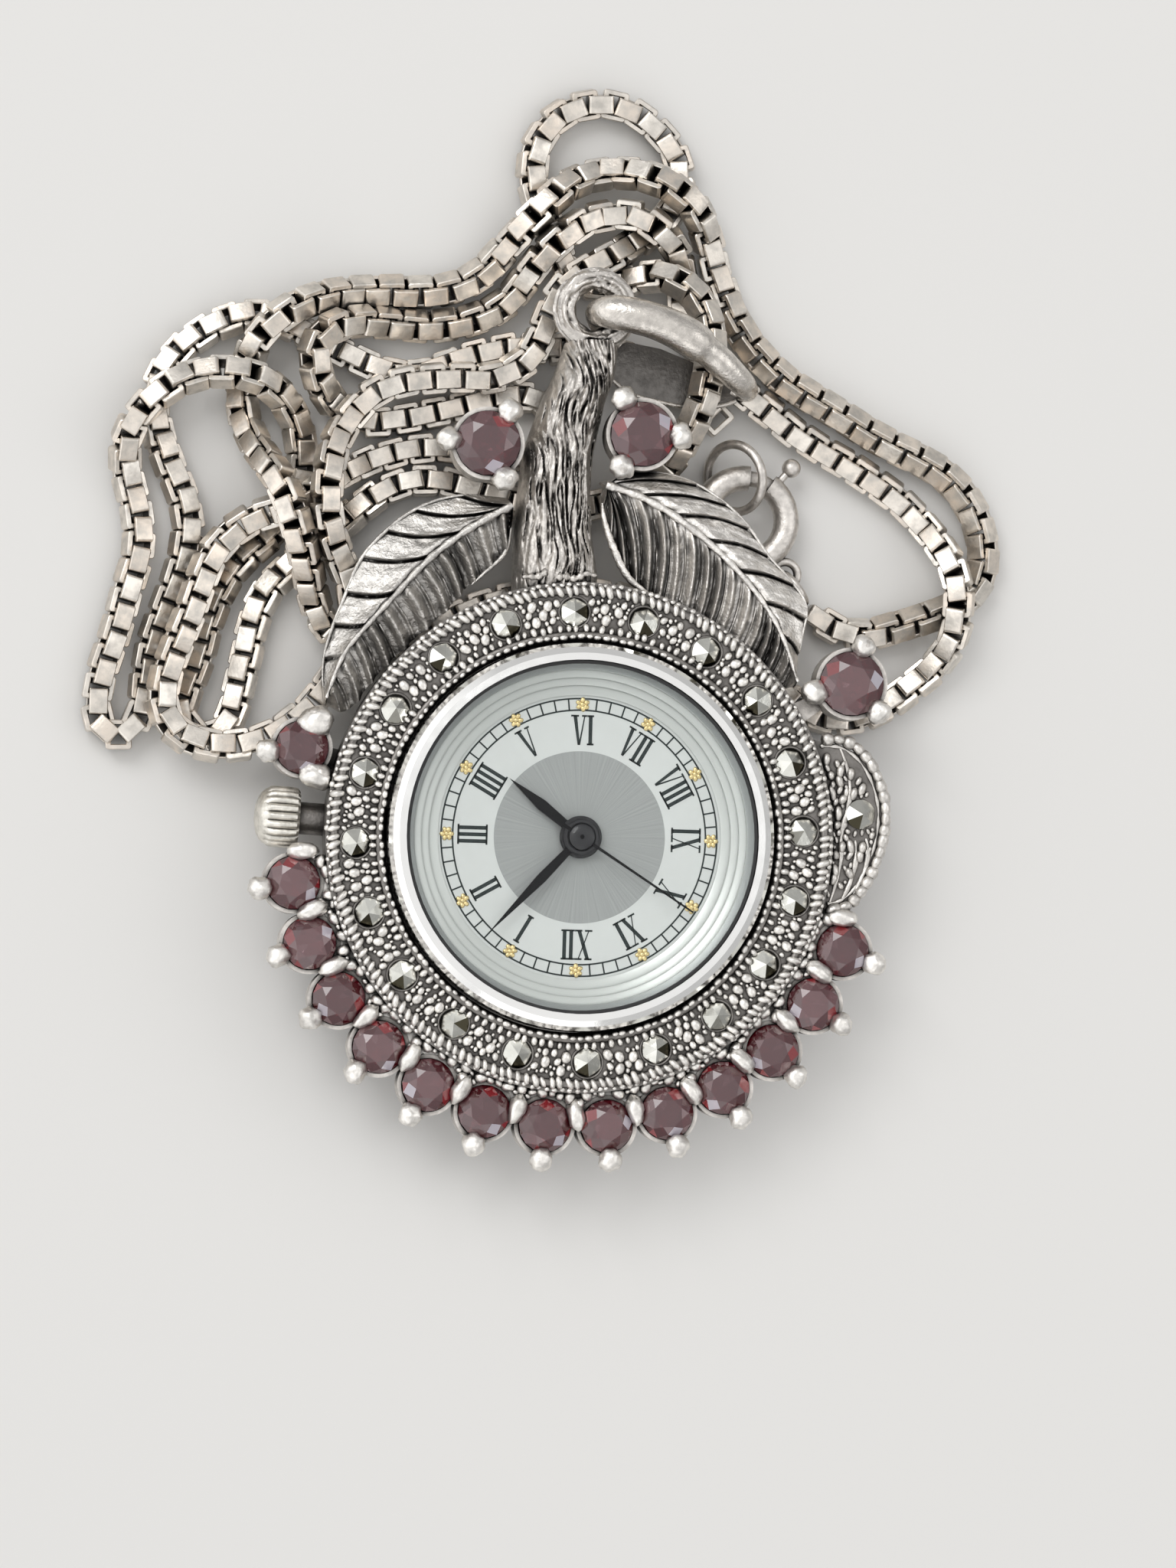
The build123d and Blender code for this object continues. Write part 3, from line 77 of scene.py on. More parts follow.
# The chain's centreline from the jump ring to the end ring, in tenths of a millimetre. A third
# number is its height in hundredths, where a strand is lifted over what lies under it
ROUTE_MARKS = (
    (72, 197), (63, 207), (53, 215), (41, 223), (27, 229), (9, 232), (-10, 231), (-26, 232),
    (-40, 229), (-54, 225), (-68, 219), (-81, 218), (-94, 222), (-107, 228), (-119, 234),
    (-132, 241), (-147, 246), (-164, 242), (-179, 233), (-191, 220), (-196, 205), (-194, 190),
    (-189, 176), (-183, 163), (-179, 148), (-181, 134), (-185, 120), (-191, 106), (-196, 91),
    (-199, 77), (-200, 64), (-203, 53), (-211, 47), (-220, 51), (-222, 62), (-220, 75),
    (-216, 88), (-211, 102), (-208, 116), (-203, 130), (-202, 145), (-205, 159), (-209, 173, 90),
    (-209, 186, 160), (-202, 199, 230), (-189, 210, 230), (-175, 216, 200), (-162, 217, 230),
    (-149, 215, 230), (-137, 208, 150), (-129, 196, 80), (-126, 181), (-127, 167), (-131, 154),
    (-139, 143), (-150, 135), (-159, 125), (-166, 113), (-171, 98), (-174, 84), (-179, 71),
    (-183, 59), (-177, 49), (-166, 47), (-159, 56), (-156, 69), (-152, 85), (-149, 101),
    (-144, 114), (-135, 124), (-125, 133), (-115, 140), (-106, 149), (-96, 158), (-83, 166),
    (-69, 169), (-53, 167), (-38, 162), (-21, 157), (-3, 156), (16, 158), (33, 166),
    (46, 176, 115), (53, 188, 230), (59, 201, 280), (63, 215, 280), (65, 229, 270),
    (64, 243, 245), (59, 255, 225), (49, 263, 230), (38, 266, 170), (26, 263, 90), (10, 261),
    (-1, 267), (-6, 279), (-11, 293), (-17, 306), (-18, 321), (-13, 334), (-2, 345), (14, 349),
    (30, 346), (43, 336), (52, 324), (53, 310), (49, 297), (39, 287), (28, 280, 120),
    (14, 271, 220), (2, 265, 230), (-8, 255, 225), (-13, 242, 220), (-18, 229, 220),
    (-28, 219, 220), (-40, 215, 220), (-53, 216, 220), (-67, 215, 220), (-82, 213, 220),
    (-96, 207, 220), (-106, 195, 230), (-113, 182, 290), (-116, 167, 360), (-117, 153, 370),
    (-114, 139, 320), (-108, 127, 230), (-103, 113, 220), (-103, 96, 225), (-109, 81, 220),
    (-118, 67, 220), (-130, 55, 220), (-144, 46, 220), (-159, 42, 220), (-174, 43, 225),
    (-186, 49, 225), (-192, 60, 225), (-191, 73, 225), (-186, 87, 225), (-180, 102, 220),
    (-175, 116, 210), (-170, 130, 185), (-161, 142, 175), (-148, 150, 200), (-134, 154, 225),
    (-121, 160, 220), (-111, 169, 160), (-98, 176, 90), (-84, 181), (-69, 184), (-53, 184),
    (-39, 181), (-25, 179), (-12, 183), (-5, 193), (-8, 204), (-19, 209), (-34, 208), (-49, 204),
    (-65, 200), (-79, 197), (-92, 195), (-105, 198), (-115, 207, 120), (-121, 218, 210),
    (-122, 230, 230), (-112, 240, 210), (-97, 243, 120), (-82, 242), (-67, 241), (-51, 243),
    (-37, 248), (-27, 256, 80), (-21, 265, 140), (-14, 274, 220), (-4, 284, 230), (8, 292, 170),
    (22, 295, 170), (33, 293, 220), (43, 285, 230), (51, 278, 140), (54, 265), (54, 251),
    (57, 237), (67, 226), (79, 215), (92, 206), (105, 195), (118, 187), (132, 179), (145, 171),
    (158, 162), (169, 151, 80), (177, 139, 150), (183, 125, 220), (184, 110, 230), (183, 95, 170),
    (175, 82, 90), (162, 71), (148, 61), (133, 56), (117, 58), (105, 67), (92, 79), (78, 91),
    (62, 102), (43, 110), (23, 115), (2, 117), (-20, 116), (-40, 111), (-58, 103), (-75, 92),
    (-90, 88), (-105, 91), (-117, 101, 110), (-122, 114, 190), (-125, 126, 280), (-129, 139, 365),
    (-133, 153, 380), (-138, 166, 340), (-146, 179, 190), (-152, 192, 80), (-155, 206),
    (-153, 219), (-149, 231, 170), (-143, 239, 220), (-131, 248, 220), (-116, 254, 150),
    (-101, 257, 80), (-85, 258), (-69, 257), (-53, 260), (-41, 267), (-32, 277, 110),
    (-24, 286, 200), (-14, 296, 230), (-3, 307, 200), (11, 314, 100), (25, 315, 130),
    (37, 312, 210), (50, 305, 230), (60, 296, 200), (66, 283, 100), (70, 269), (75, 255),
    (81, 242), (90, 230), (101, 219), (114, 211), (128, 203), (141, 195), (155, 187), (169, 181),
    (183, 172), (193, 159), (198, 145), (199, 131), (194, 118), (183, 110), (169, 105),
    (156, 101), (142, 97), (127, 99), (116, 107),
)
TENTHS_PER_M, HUNDREDTHS_PER_M = 10000, 100000
ON_TABLE = 75
CHAIN_ROUTE = tuple(
    (mark[0] / TENTHS_PER_M, mark[1] / TENTHS_PER_M, (*mark, ON_TABLE)[2] / HUNDREDTHS_PER_M)
    for mark in ROUTE_MARKS)

# Places in millimetres that follow the part's own outlines
EYE = (0.85, 24.6)
# The stem from its foot to its eye: place up it, left side, right side and thickness
TRUNK = (
    (10.86, -3.02, 0.96, 1.95), (12.27, -3.0, 1.0, 2.3), (14.0, -2.92, 0.75, 2.2),
    (16.0, -2.75, 0.66, 2.3), (18.0, -2.5, 0.82, 2.2), (20.3, -1.65, 1.36, 2.25),
    (21.6, -1.05, 1.84, 2.07), (23.13, -0.5, 2.0, 1.61),
)
# The lip at the stem's foot: its ends across the stem, its place up the stem, and its points
LIP_ENDS, LIP_HEIGHT, LIP_POINTS = (-2.7, 0.75), 12.08, 40
# Midribs and edges of the leaves, each from the stalk to the tip
RIGHT_MIDRIB = (
    (1.3, 16.4), (3.0, 15.9), (5.0, 14.7), (7.0, 13.0), (8.5, 11.3), (9.6, 9.5), (10.3, 7.3),
)
RIGHT_OUTER = (
    (1.1, 16.6), (2.95, 17.2), (4.96, 16.9), (6.5, 16.1), (8.0, 14.8), (9.0, 13.2), (10.0, 12.2),
    (11.0, 10.9), (10.55, 9.3), (10.3, 7.1),
)
RIGHT_INNER = (
    (1.15, 16.0), (1.2, 14.9), (1.6, 13.7), (2.2, 12.3), (2.8, 11.7), (3.9, 11.0), (5.8, 9.9),
    (7.6, 8.3), (9.3, 6.9), (10.2, 7.1),
)
LEFT_MIDRIB = (
    (-3.1, 15.4), (-5.0, 14.4), (-7.0, 12.9), (-8.7, 11.0), (-10.0, 9.6), (-11.0, 8.4),
    (-11.7, 6.4),
)
LEFT_OUTER = (
    (-3.2, 15.8), (-5.5, 16.0), (-7.6, 15.3), (-9.2, 14.0), (-10.2, 12.8), (-10.8, 11.2),
    (-11.5, 9.5), (-11.9, 8.0), (-11.74, 6.2),
)
LEFT_INNER = (
    (-3.05, 15.0), (-3.1, 14.3), (-3.3, 13.2), (-4.2, 12.4), (-5.2, 11.5), (-5.9, 10.6),
    (-7.6, 9.1), (-9.4, 7.4), (-10.6, 5.6), (-11.6, 6.1),
)
LOBE_RIM = (
    (11.4, 4.6), (12.6, 4.6), (13.7, 3.6), (14.35, 2.0), (14.4, 0.6), (14.1, -0.8), (13.4, -2.3),
    (12.6, -3.2), (11.7, -3.4),
)
LOBE_RIDGES = (
    ((12.2, 4.3), (12.55, 3.4), (12.75, 2.2), (12.55, 1.2), (12.25, 0.2), (12.3, -1.0),
     (12.0, -2.2), (11.7, -3.1)),
    ((12.95, -0.1), (13.0, -1.0), (12.75, -2.0), (12.2, -3.1)),
    ((13.45, 0.0), (13.6, -0.7), (13.3, -1.8), (12.7, -2.9)),
)
# Centre and radius of the lobe's face, and the stretches across and up it where grains are tried
LOBE_CENTRE, LOBE_RADIUS = (10.2, 0.6), 3.72
LOBE_SPAN, LOBE_HEIGHT = (11.4, 14.2), (-3.2, 4.4)
# The middle of the bail's wire through its bends, with its height
BAIL_ARM = (
    (2.3, 23.3, 1.7), (1.3, 24.0, 1.9), (0.95, 24.45, 3.2), (1.0, 24.45, 4.9), (2.1, 24.3, 5.3),
    (3.6, 23.95, 5.3), (5.0, 23.35, 5.1), (6.2, 22.55, 4.7), (7.2, 21.75, 4.3), (8.1, 21.05, 3.6),
    (8.4, 20.95, 1.75), (7.6, 21.2, 1.65),
)
# Share of the arm's length and its radius there
BAIL_ARM_RADII = (
    (0.0, 0.34), (0.12, 0.45), (0.23, 0.62), (0.32, 0.82), (0.45, 0.84), (0.57, 0.9),
    (0.615, 0.86), (0.635, 0.7), (0.7, 0.72), (0.8, 0.62), (0.9, 0.42), (1.0, 0.3),
)
BAND_UNDERSIDE, BAND_TOP = 1.6, 1.86
BAIL_BAND = (
    (1.9, 21.6), (2.5, 21.1), (3.1, 20.82), (4.1, 20.6), (5.3, 20.35), (6.4, 20.35), (7.3, 20.5),
    (7.8, 20.7), (7.8, 21.0), (6.9, 21.8), (5.7, 22.5), (4.2, 23.1), (2.6, 23.4), (2.0, 23.1),
    (1.8, 22.5),
)
# The sloped ring's section: radius and height
FLANGE_STEPS = (
    (6.5, 4.46), (6.5, 4.6), (6.6, 4.64), (6.93, 4.68), (6.96, 4.84), (7.04, 4.88), (7.3, 4.92),
    (7.33, 5.1), (7.41, 5.14), (7.66, 5.18), (7.69, 5.36), (7.77, 5.4), (8.0, 5.44), (8.04, 5.5),
    (8.08, 5.5), (8.08, 4.46),
)
# Outer and inner half of a leaf: share of its lines that fan out from the stalk, edge share where
# the others start, ribs, their depth and the seed. From COMB_RIBS on, the ribs are a comb's
RIGHT_HALVES = ((0.25, 0.33, 9, 0.62, 3), (0.16, 0.3, 17, 0.62, 4))
LEFT_HALVES = ((0.22, 0.27, 8, 0.62, 5), (0.08, 0.06, 12, 0.75, 6))
COMB_RIBS = 11
# Steps along a leaf's midrib and along its bright rims
RIB_STEPS, RIM_STEPS = 40, 30
LOBE_STONE = (13.2, 1.1)
STONE_CIRCLE, STONE_COUNT = 10.4, 20
# How far grains and cups keep off a stone, and half the thickness of a cup's rim
STONE_GAP, CUP_RIM = 0.04, 0.05
# The lower row of garnets: radius of its circle, direction of the first, step and count
SMALL_STONES = (13.4, 189.1, 12.33, 13)
# Place of each large garnet, and how far it stands over the others
LARGE_STONES = (((2.9, 18.7), 0.45), ((-4.3, 18.2), 0.45), ((12.8, 7.2), 0.0))
LEFT_SHOULDER_STONE = (-12.85, 4.1)
# Half lengths of a bead on a lower prong, of a drop that two stones share, and of a gilt flower's
# petals and middle
BEAD, DROP = (0.56, 0.53, 0.52), (0.74, 0.4, 0.44)
PETAL, FLOWER_MIDDLE, PETAL_CIRCLE = (0.14, 0.115, 0.06), (0.13, 0.12, 0.07), 0.2
# Beads over the prongs of the larger stones: place, lift, half lengths and heading
BEADS = (
    ((2.07, 20.33), 0.45, (0.62, 0.54, 0.52), 20), ((1.91, 17.17), 0.45, (0.56, 0.6, 0.52), 70),
    ((4.72, 18.6), 0.45, (0.54, 0.62, 0.52), 10), ((-3.25, 19.7), 0.45, (0.6, 0.54, 0.52), 40),
    ((-6.12, 18.36), 0.45, (0.55, 0.57, 0.52), 80),
    ((-3.53, 16.55), 0.45, (0.56, 0.6, 0.52), 120), ((13.33, 8.95), 0.0, (0.56, 0.55, 0.52), 10),
    ((11.02, 6.79), 0.0, (0.58, 0.6, 0.52), 60), ((14.04, 5.86), 0.0, (0.55, 0.6, 0.52), 130),
    ((-12.2, 5.28), 0.0, (0.82, 0.72, 0.56), 5), ((-14.39, 3.97), 0.0, (0.56, 0.55, 0.52), 80),
    ((-12.15, 2.74), 0.0, (0.85, 0.56, 0.53), -18),
)
CROWN_HEADING = 176.0
# The crown's outline: place along its own line from its foot, and radius
CROWN_OUTLINE = (
    (0.0, 0.9), (0.02, 1.25), (0.14, 1.38), (0.4, 1.42), (1.2, 1.42), (1.4, 1.39), (1.5, 1.31),
    (1.62, 1.25), (1.8, 1.1), (1.94, 0.86), (2.04, 0.5), (2.07, 0.25),
)

# Turns inside each bend of a link, how many pitches to either side its heading is read from, and
# the least level share of a heading from which its level side is taken
LINK_TURNS = (0, 22.5, 45, 67.5, 90)
LINK_LOOK, STEEP = 0.7, 0.25
# First and last route point of a stretch of chain, and its roll about its own line in degrees,
# which comes and goes over ROLL_EASE points to either side
ROLL_EASE = 1.2
CHAIN_ROLLS = (
    (15, 20, 16), (20, 30, -20), (35, 44, 20), (44, 52, -28), (53, 61, 24), (64, 73, -26),
    (82, 90, 38), (94, 107, 14), (111, 124, -14), (131, 144, 22), (161, 170, 34), (171, 181, 18),
    (183, 197, 24), (213, 223, -34), (224, 232, 40), (233, 241, -22), (243, 260, -44),
)

# Rows of grains on the ring: radius, count, half lengths, slant, jitter of the slant and lift
RING_ROWS = (
    (9.27, 148, (0.14, 0.2, 0.17), 0, 8, 0.07),
    (9.64, 150, (0.21, 0.145, 0.19), 0, 12, 0.07),
    (11.4, 182, (0.33, 0.165, 0.25), 26, 12, 0.04),
    (11.68, 210, (0.14, 0.15, 0.15), 0, 20, -0.07),
)
# Beds of grains: their inner and outer radius, and each tier's half size and tries
RING_BED = (9.8, 11.12)
RING_TIERS = ((0.26, 900), (0.19, 3000), (0.13, 5000), (0.09, 5000))
GALLERY_TIERS = ((0.27, 900), (0.19, 1500), (0.13, 1500))
# The gallery's bed and the web under it: their reaches from the centre and their arcs in degrees
GALLERY_BED, GALLERY_ARC = (11.8, 12.75), (184, 343)
WEB_REACHES, WEB_ARC, WEB_STEPS = (11.72, 12.0, 12.3), (185, 341), 80
LOBE_TIERS = ((0.22, 500), (0.16, 1500), (0.11, 1500))

# Antique silvers: how far in mm a recess shades, how open a spot is where it turns black and where
# it shines, the rubbed colour or the setting that holds it, the depth of its grain in mm, and its
# roughness where that isn't the ornament's own
SILVERS = {
    "antique silver": (0.7, 0.35, 0.9, "light", 0.02, None),
    # Oxide under the grains of the ring and side lobe, and painted shade on the crown's tube
    "dim silver": (0.6, 0.35, 0.9, "dark", 0.02, None),
    "grain silver": (0.35, 0.2, 0.72, "bright", 0.02, None),
    "rim silver": (0.3, 0.3, 0.9, "dark", 0.02, None),
    "lobe silver": (0.4, 0.3, 0.85, (0.74, 0.71, 0.67), 0.02, None),
    "right leaf silver": (0.5, 0.24, 0.74, (0.92, 0.885, 0.84), 0.06, None),
    "left leaf silver": (0.4, 0.42, 0.82, (0.68, 0.655, 0.62), 0.06, None),
    "bark silver": (0.3, 0.36, 0.85, (0.66, 0.625, 0.585), 0.04, None),
    "bail silver": (0.6, 0.3, 0.85, (0.7, 0.66, 0.61), 0.025, 0.2),
    # The band's silver is near black all over, darker than the rest of the bail
    "band silver": (0.6, 0.3, 0.9, (0.17, 0.16, 0.15), 0.02, 0.3),
    "crown silver": (0.3, 0.3, 0.8, (0.86, 0.83, 0.76), 0.02, None),
}
# Tones of a garnet's facets, and the colours over its own with the tone where each starts: painted
# reflections and glints, faint, rosy grey, bright red and the pale of a window
DEEP, FAINT_REFLECTION, GREY_REFLECTION, RED_GLINT, WINDOW = 0.0, 0.3, 0.5, 0.7, 1.0
GARNET_REFLECTIONS_AND_GLINTS = (
    (0.25, (0.13, 0.032, 0.04)), (0.45, (0.23, 0.095, 0.105)), (0.65, (0.42, 0.03, 0.04)),
    (0.85, (0.85, 0.8, 0.9)),
)
GARNET_INDEX = 1.76

# The hub over each hand: piece, body and section as radius and height
HUB_RINGS = (
    ("hub_dome", "second_train",
     ((0.09, 5.36), (0.58, 5.36), (0.58, 5.43), (0.5, 5.49), (0.3, 5.53), (0.12, 5.53),
      (0.09, 5.5))),
    ("hub_minute_ring", "minute_train",
     ((0.6, 5.12), (0.83, 5.12), (0.83, 5.18), (0.77, 5.24), (0.66, 5.24), (0.6, 5.2))),
    ("hub_hour_ring", "hour_train",
     ((0.78, 4.84), (0.97, 4.84), (0.97, 4.9), (0.92, 4.96), (0.82, 4.96), (0.78, 4.92))),
)
# CAD pieces in dark silver: oxide under the grains of the ring and side lobe, and painted shade on
# the crown's tube
OXIDE_AND_SHADE_NODES = ("frame_ring", "side_lobe", "crown_tube")
ROMAN = ("XII", "I", "II", "III", "IIII", "V", "VI", "VII", "VIII", "IX", "X", "XI")


class Heap:
    """Points in millimetres and faces of one piece, gathered shape by shape."""

    def __init__(self):
        self.points, self.faces, self.tones = [], [], []

    def add(self, points, faces, tones=()):
        """Takes in a shape, with a tone for each face where it has them."""
        first = len(self.points)
        self.points.extend(tuple(p) for p in points)
        self.faces.extend(tuple(first + i for i in face) for face in faces)
        self.tones.extend(tones)

    def piece(self, name, body, slot, finish, sharp=40.0, replaced=()):
        """The gathered shapes as one object that rides on a body."""
        mesh = bpy.data.meshes.new(name)
        mesh.from_pydata([(x * MM, y * MM, z * MM) for x, y, z in self.points], [], self.faces)
        mesh.validate()
        if self.tones:
            mesh.attributes.new("tone", "FLOAT", "FACE").data.foreach_set("value", self.tones)
        mesh.shade_smooth()
        mesh.set_sharp_from_angle(angle=radians(sharp))
        mesh.materials.append(finish)
        made = bpy.data.objects.new(name, mesh)
        bpy.context.collection.objects.link(made)
        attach(made, body)
        if replaced:
            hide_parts(*replaced)
        return made


def polar(radius, angle):
    """A place at a radius from the dial's centre, in a direction in degrees."""
    return radius * cos(radians(angle)), radius * sin(radians(angle))


def blend_of(a, b, share):
    """The value at a share of the way from a to b."""
    return a + (b - a) * share


def heading_of(x, y):
    """The direction of a place seen from the dial's centre, in degrees."""
    return degrees(atan2(y, x))


def ring_faces(rows, sides, closed=True):
    """Faces between rows of points that each run round; closed joins the last row to the first."""
    faces = []
    for row in range(rows if closed else rows - 1):
        a, b = row * sides, (row + 1) % rows * sides
        for k in range(sides):
            after = (k + 1) % sides
            faces.append((a + k, b + k, b + after, a + after))
    return faces


def nuggets(rounds=2, rough=0.1):
    """Unit balls of metal that are a little uneven, as points and faces."""
    made = []
    for seed in range(7):
        ball = bmesh.new()
        bmesh.ops.create_icosphere(ball, subdivisions=rounds, radius=1.0)
        points = []
        for vert in ball.verts:
            spot = vert.co
            wave = noise.noise(spot * 1.3 + Vector((seed * 9.0, 0, 0)))
            wave += 0.5 * noise.noise(spot * 3.1)
            points.append(tuple(spot * (1 + rough * wave)))
        made.append((points, [tuple(v.index for v in f.verts) for f in ball.faces]))
        ball.free()
    return made


def scatter(dice, draw, inside, tiers):
    """Grains packed at random: draw gives a spot to try, a tier is a half size and its tries."""
    laid = []
    for size, tries in tiers:
        for _ in range(tries):
            x, y = draw(dice)
            if inside(x, y, size) and all(
                    hypot(x - a, y - b) > (size + c) * 0.9 for a, b, c in laid):
                laid.append((x, y, size))
    return laid


def grain_drop(heap, ball, place, sizes, turn=0.0):
    """An egg-shaped grain of metal: sizes are its half lengths, turn its heading in degrees."""
    c, s = cos(radians(turn)), sin(radians(turn))
    points = []
    for x, y, z in ball[0]:
        x, y, z = x * sizes[0], y * sizes[1], z * sizes[2]
        points.append((place[0] + x * c - y * s, place[1] + x * s + y * c, place[2] + z))
    heap.add(points, ball[1])


def plate(heap, outline, low, high):
    """A flat plate with straight sides on an outline."""
    n = len(outline)
    points = [(x, y, low) for x, y in outline] + [(x, y, high) for x, y in outline]
    faces = [tuple(reversed(range(n))), tuple(range(n, 2 * n))]
    faces += [(i, (i + 1) % n, n + (i + 1) % n, n + i) for i in range(n)]
    heap.add(points, faces)


def block(heap, rows, low):
    """A closed solid under a grid of top points, with a flat foot at low."""
    high, wide = len(rows), len(rows[0])
    points = [p for row in rows for p in row] + [(x, y, low) for row in rows for x, y, z in row]
    under = high * wide
    faces = []
    for i in range(high - 1):
        for j in range(wide - 1):
            a = i * wide + j
            faces.append((a, a + 1, a + wide + 1, a + wide))
            faces.append((under + a + wide, under + a + wide + 1, under + a + 1, under + a))
    rim = [j for j in range(wide)] + [i * wide + wide - 1 for i in range(1, high)]
    rim += [(high - 1) * wide + j for j in range(wide - 2, -1, -1)]
    rim += [i * wide for i in range(high - 2, 0, -1)]
    for a, b in zip(rim, rim[1:] + rim[:1]):
        faces.append((b, a, under + a, under + b))
    heap.add(points, faces)


def wire(heap, line, radii, sides=12):
    """A round wire along a line of points, with its own radius at each."""
    line = [Vector(p) for p in line]
    points, faces = [], []
    side = None
    for i, place in enumerate(line):
        ahead = (line[min(i + 1, len(line) - 1)] - line[max(i - 1, 0)]).normalized()
        if side is None:
            side = ahead.orthogonal().normalized()
        side = (side - ahead * side.dot(ahead)).normalized()
        over = ahead.cross(side)
        for k in range(sides):
            turn = tau * k / sides
            points.append(place + (side * cos(turn) + over * sin(turn)) * radii[i])
    for i in range(len(line) - 1):
        for k in range(sides):
            a, b = i * sides + k, i * sides + (k + 1) % sides
            faces.append((a, b, b + sides, a + sides))
    faces.append(tuple(reversed(range(sides))))
    faces.append(tuple(range(len(points) - sides, len(points))))
    heap.add(points, faces)


# Finishes
class Bench:
    """The nodes of a finish or of the sky, and the ways in which they are joined."""

    def __init__(self, tree):
        self.nodes, self.links = tree.nodes, tree.links

    def spread(self, source, low, high, to_low=0.0, to_high=1.0):
        """A value mapped from one span to another."""
        span = self.nodes.new("ShaderNodeMapRange")
        ends = {"From Min": low, "From Max": high, "To Min": to_low, "To Max": to_high}
        for socket, value in ends.items():
            span.inputs[socket].default_value = value
        self.links.new(source, span.inputs["Value"])
        return span.outputs["Result"]

    def reckoned(self, operation, *values):
        """What a sum makes of two values."""
        made = self.nodes.new("ShaderNodeMath")
        made.operation = operation
        for value, socket in zip(values, made.inputs):
            self.links.new(value, socket)
        return made.outputs[0]

    def two_tone(self, share, first, second):
        """A colour that goes from the first to the second as share goes from 0 to 1."""
        mix = self.nodes.new("ShaderNodeMix")
        mix.data_type = "RGBA"
        for socket, colour in ((mix.inputs[6], first), (mix.inputs[7], second)):
            if isinstance(colour, bpy.types.NodeSocket):
                self.links.new(colour, socket)
            else:
                socket.default_value = (*colour, 1)
        self.links.new(share, mix.inputs["Factor"])
        return mix.outputs[2]

    def grey(self, value):
        """A value as a colour of equal parts."""
        tint = self.nodes.new("ShaderNodeCombineColor")
        for channel in ("Red", "Green", "Blue"):
            self.links.new(value, tint.inputs[channel])
        return tint.outputs["Color"]


class Finish(Bench):
    """A material with its shader set directly, and the nodes that vary it over a surface."""

    def __init__(self, name, colour, metal, rough, **sockets):
        self.material = bpy.data.materials.new(name)
        self.material.use_nodes = True
        super().__init__(self.material.node_tree)
        self.shader = self.nodes["Principled BSDF"]
        self.shader.inputs["Base Color"].default_value = (*colour, 1)
        self.shader.inputs["Metallic"].default_value = metal
        self.shader.inputs["Roughness"].default_value = rough
        for label, value in sockets.items():
            self.shader.inputs[label.replace("_", " ")].default_value = value

    def lead(self, source, label):
        """Leads a value or colour to one of the shader's sockets."""
        self.links.new(source, self.shader.inputs[label])

    def clouds(self, per_mm, detail):
        """Cloudy noise on the piece's own coordinates, with so many patches per millimetre."""
        place = self.nodes.new("ShaderNodeTexCoord")
        cloud = self.nodes.new("ShaderNodeTexNoise")
        cloud.inputs["Scale"].default_value = per_mm / MM
        cloud.inputs["Detail"].default_value = detail
        cloud.inputs["Roughness"].default_value = 0.55
        self.links.new(place.outputs["Object"], cloud.inputs["Vector"])
        return cloud.outputs["Fac"]

    def tone(self):
        """The tone that each facet or link was given: links and some facets differ at random, other
        facets carry painted glints and reflections.
        """
        given = self.nodes.new("ShaderNodeAttribute")
        given.attribute_name = "tone"
        return given.outputs["Fac"]

    def openness(self, reach_mm):
        """How open a spot is: 0 deep in a recess, 1 out in the open."""
        open_sky = self.nodes.new("ShaderNodeAmbientOcclusion")
        open_sky.samples = 8
        open_sky.inputs["Distance"].default_value = reach_mm * MM
        return open_sky.outputs["AO"]

    def bumps(self, source, depth_mm):
        """Small relief, so deep from its lowest to its highest point."""
        relief = self.nodes.new("ShaderNodeBump")
        relief.inputs["Strength"].default_value = 1.0
        relief.inputs["Distance"].default_value = depth_mm * MM
        self.links.new(source, relief.inputs["Height"])
        self.lead(relief.outputs["Normal"], "Normal")


def antique_silver(name, look):
    """Silver with black oxide left in its recesses and rubbed bright on its high spots."""
    reach_mm, black, shining, light, grain_mm, rough = SILVERS[name]
    light = tuple(getattr(look, light) if isinstance(light, str) else light)
    rough = rough or look.roughness
    made = Finish(name, light, 1.0, rough)
    bare = made.spread(made.openness(reach_mm), black, shining)
    rubbed = made.spread(made.clouds(2.2, 4.0), 0.3, 0.62, 0.62, 1.0)
    worn = made.reckoned("MULTIPLY", bare, rubbed)
    made.lead(made.two_tone(worn, tuple(look.oxide), light), "Base Color")
    made.lead(made.spread(worn, 0.0, 1.0, 0.6, rough), "Roughness")
    made.bumps(made.clouds(7.0, 3.0), grain_mm)
    return made.material


def polished_steel(name, colour, rough):
    """Bright steel with faint wipe marks."""
    made = Finish(name, colour, 1.0, rough)
    made.lead(made.spread(made.clouds(1.2, 5.0), 0.3, 0.7, rough * 0.7, rough * 1.6), "Roughness")
    made.bumps(made.clouds(12.0, 2.0), 0.0015)
    return made.material


def stepped_silver(name, light, dark):
    """Bright silver with painted shade, darker in the corners between its steps."""
    made = Finish(name, light, 0.4, 0.3)
    # Painted shade: where a corner between steps is closed in, the colour turns dark
    share = made.spread(made.openness(0.25), 0.45, 0.85)
    made.lead(made.two_tone(share, dark, light), "Base Color")
    made.bumps(made.clouds(5.0, 3.0), 0.004)
    return made.material


def faceted_grey(name, dark, light):
    """Polished grey stone whose facets differ in tone, some at random, one with a painted glint and
    one with a painted dark reflection.
    """
    made = Finish(name, light, 1.0, 0.16)
    cloud = made.spread(made.clouds(1.6, 4.0), 0.3, 0.7, 0.8, 1.0)
    share = made.reckoned("MULTIPLY", made.tone(), cloud)
    made.lead(made.two_tone(share, dark, light), "Base Color")
    made.bumps(made.clouds(6.0, 2.0), 0.004)
    return made.material


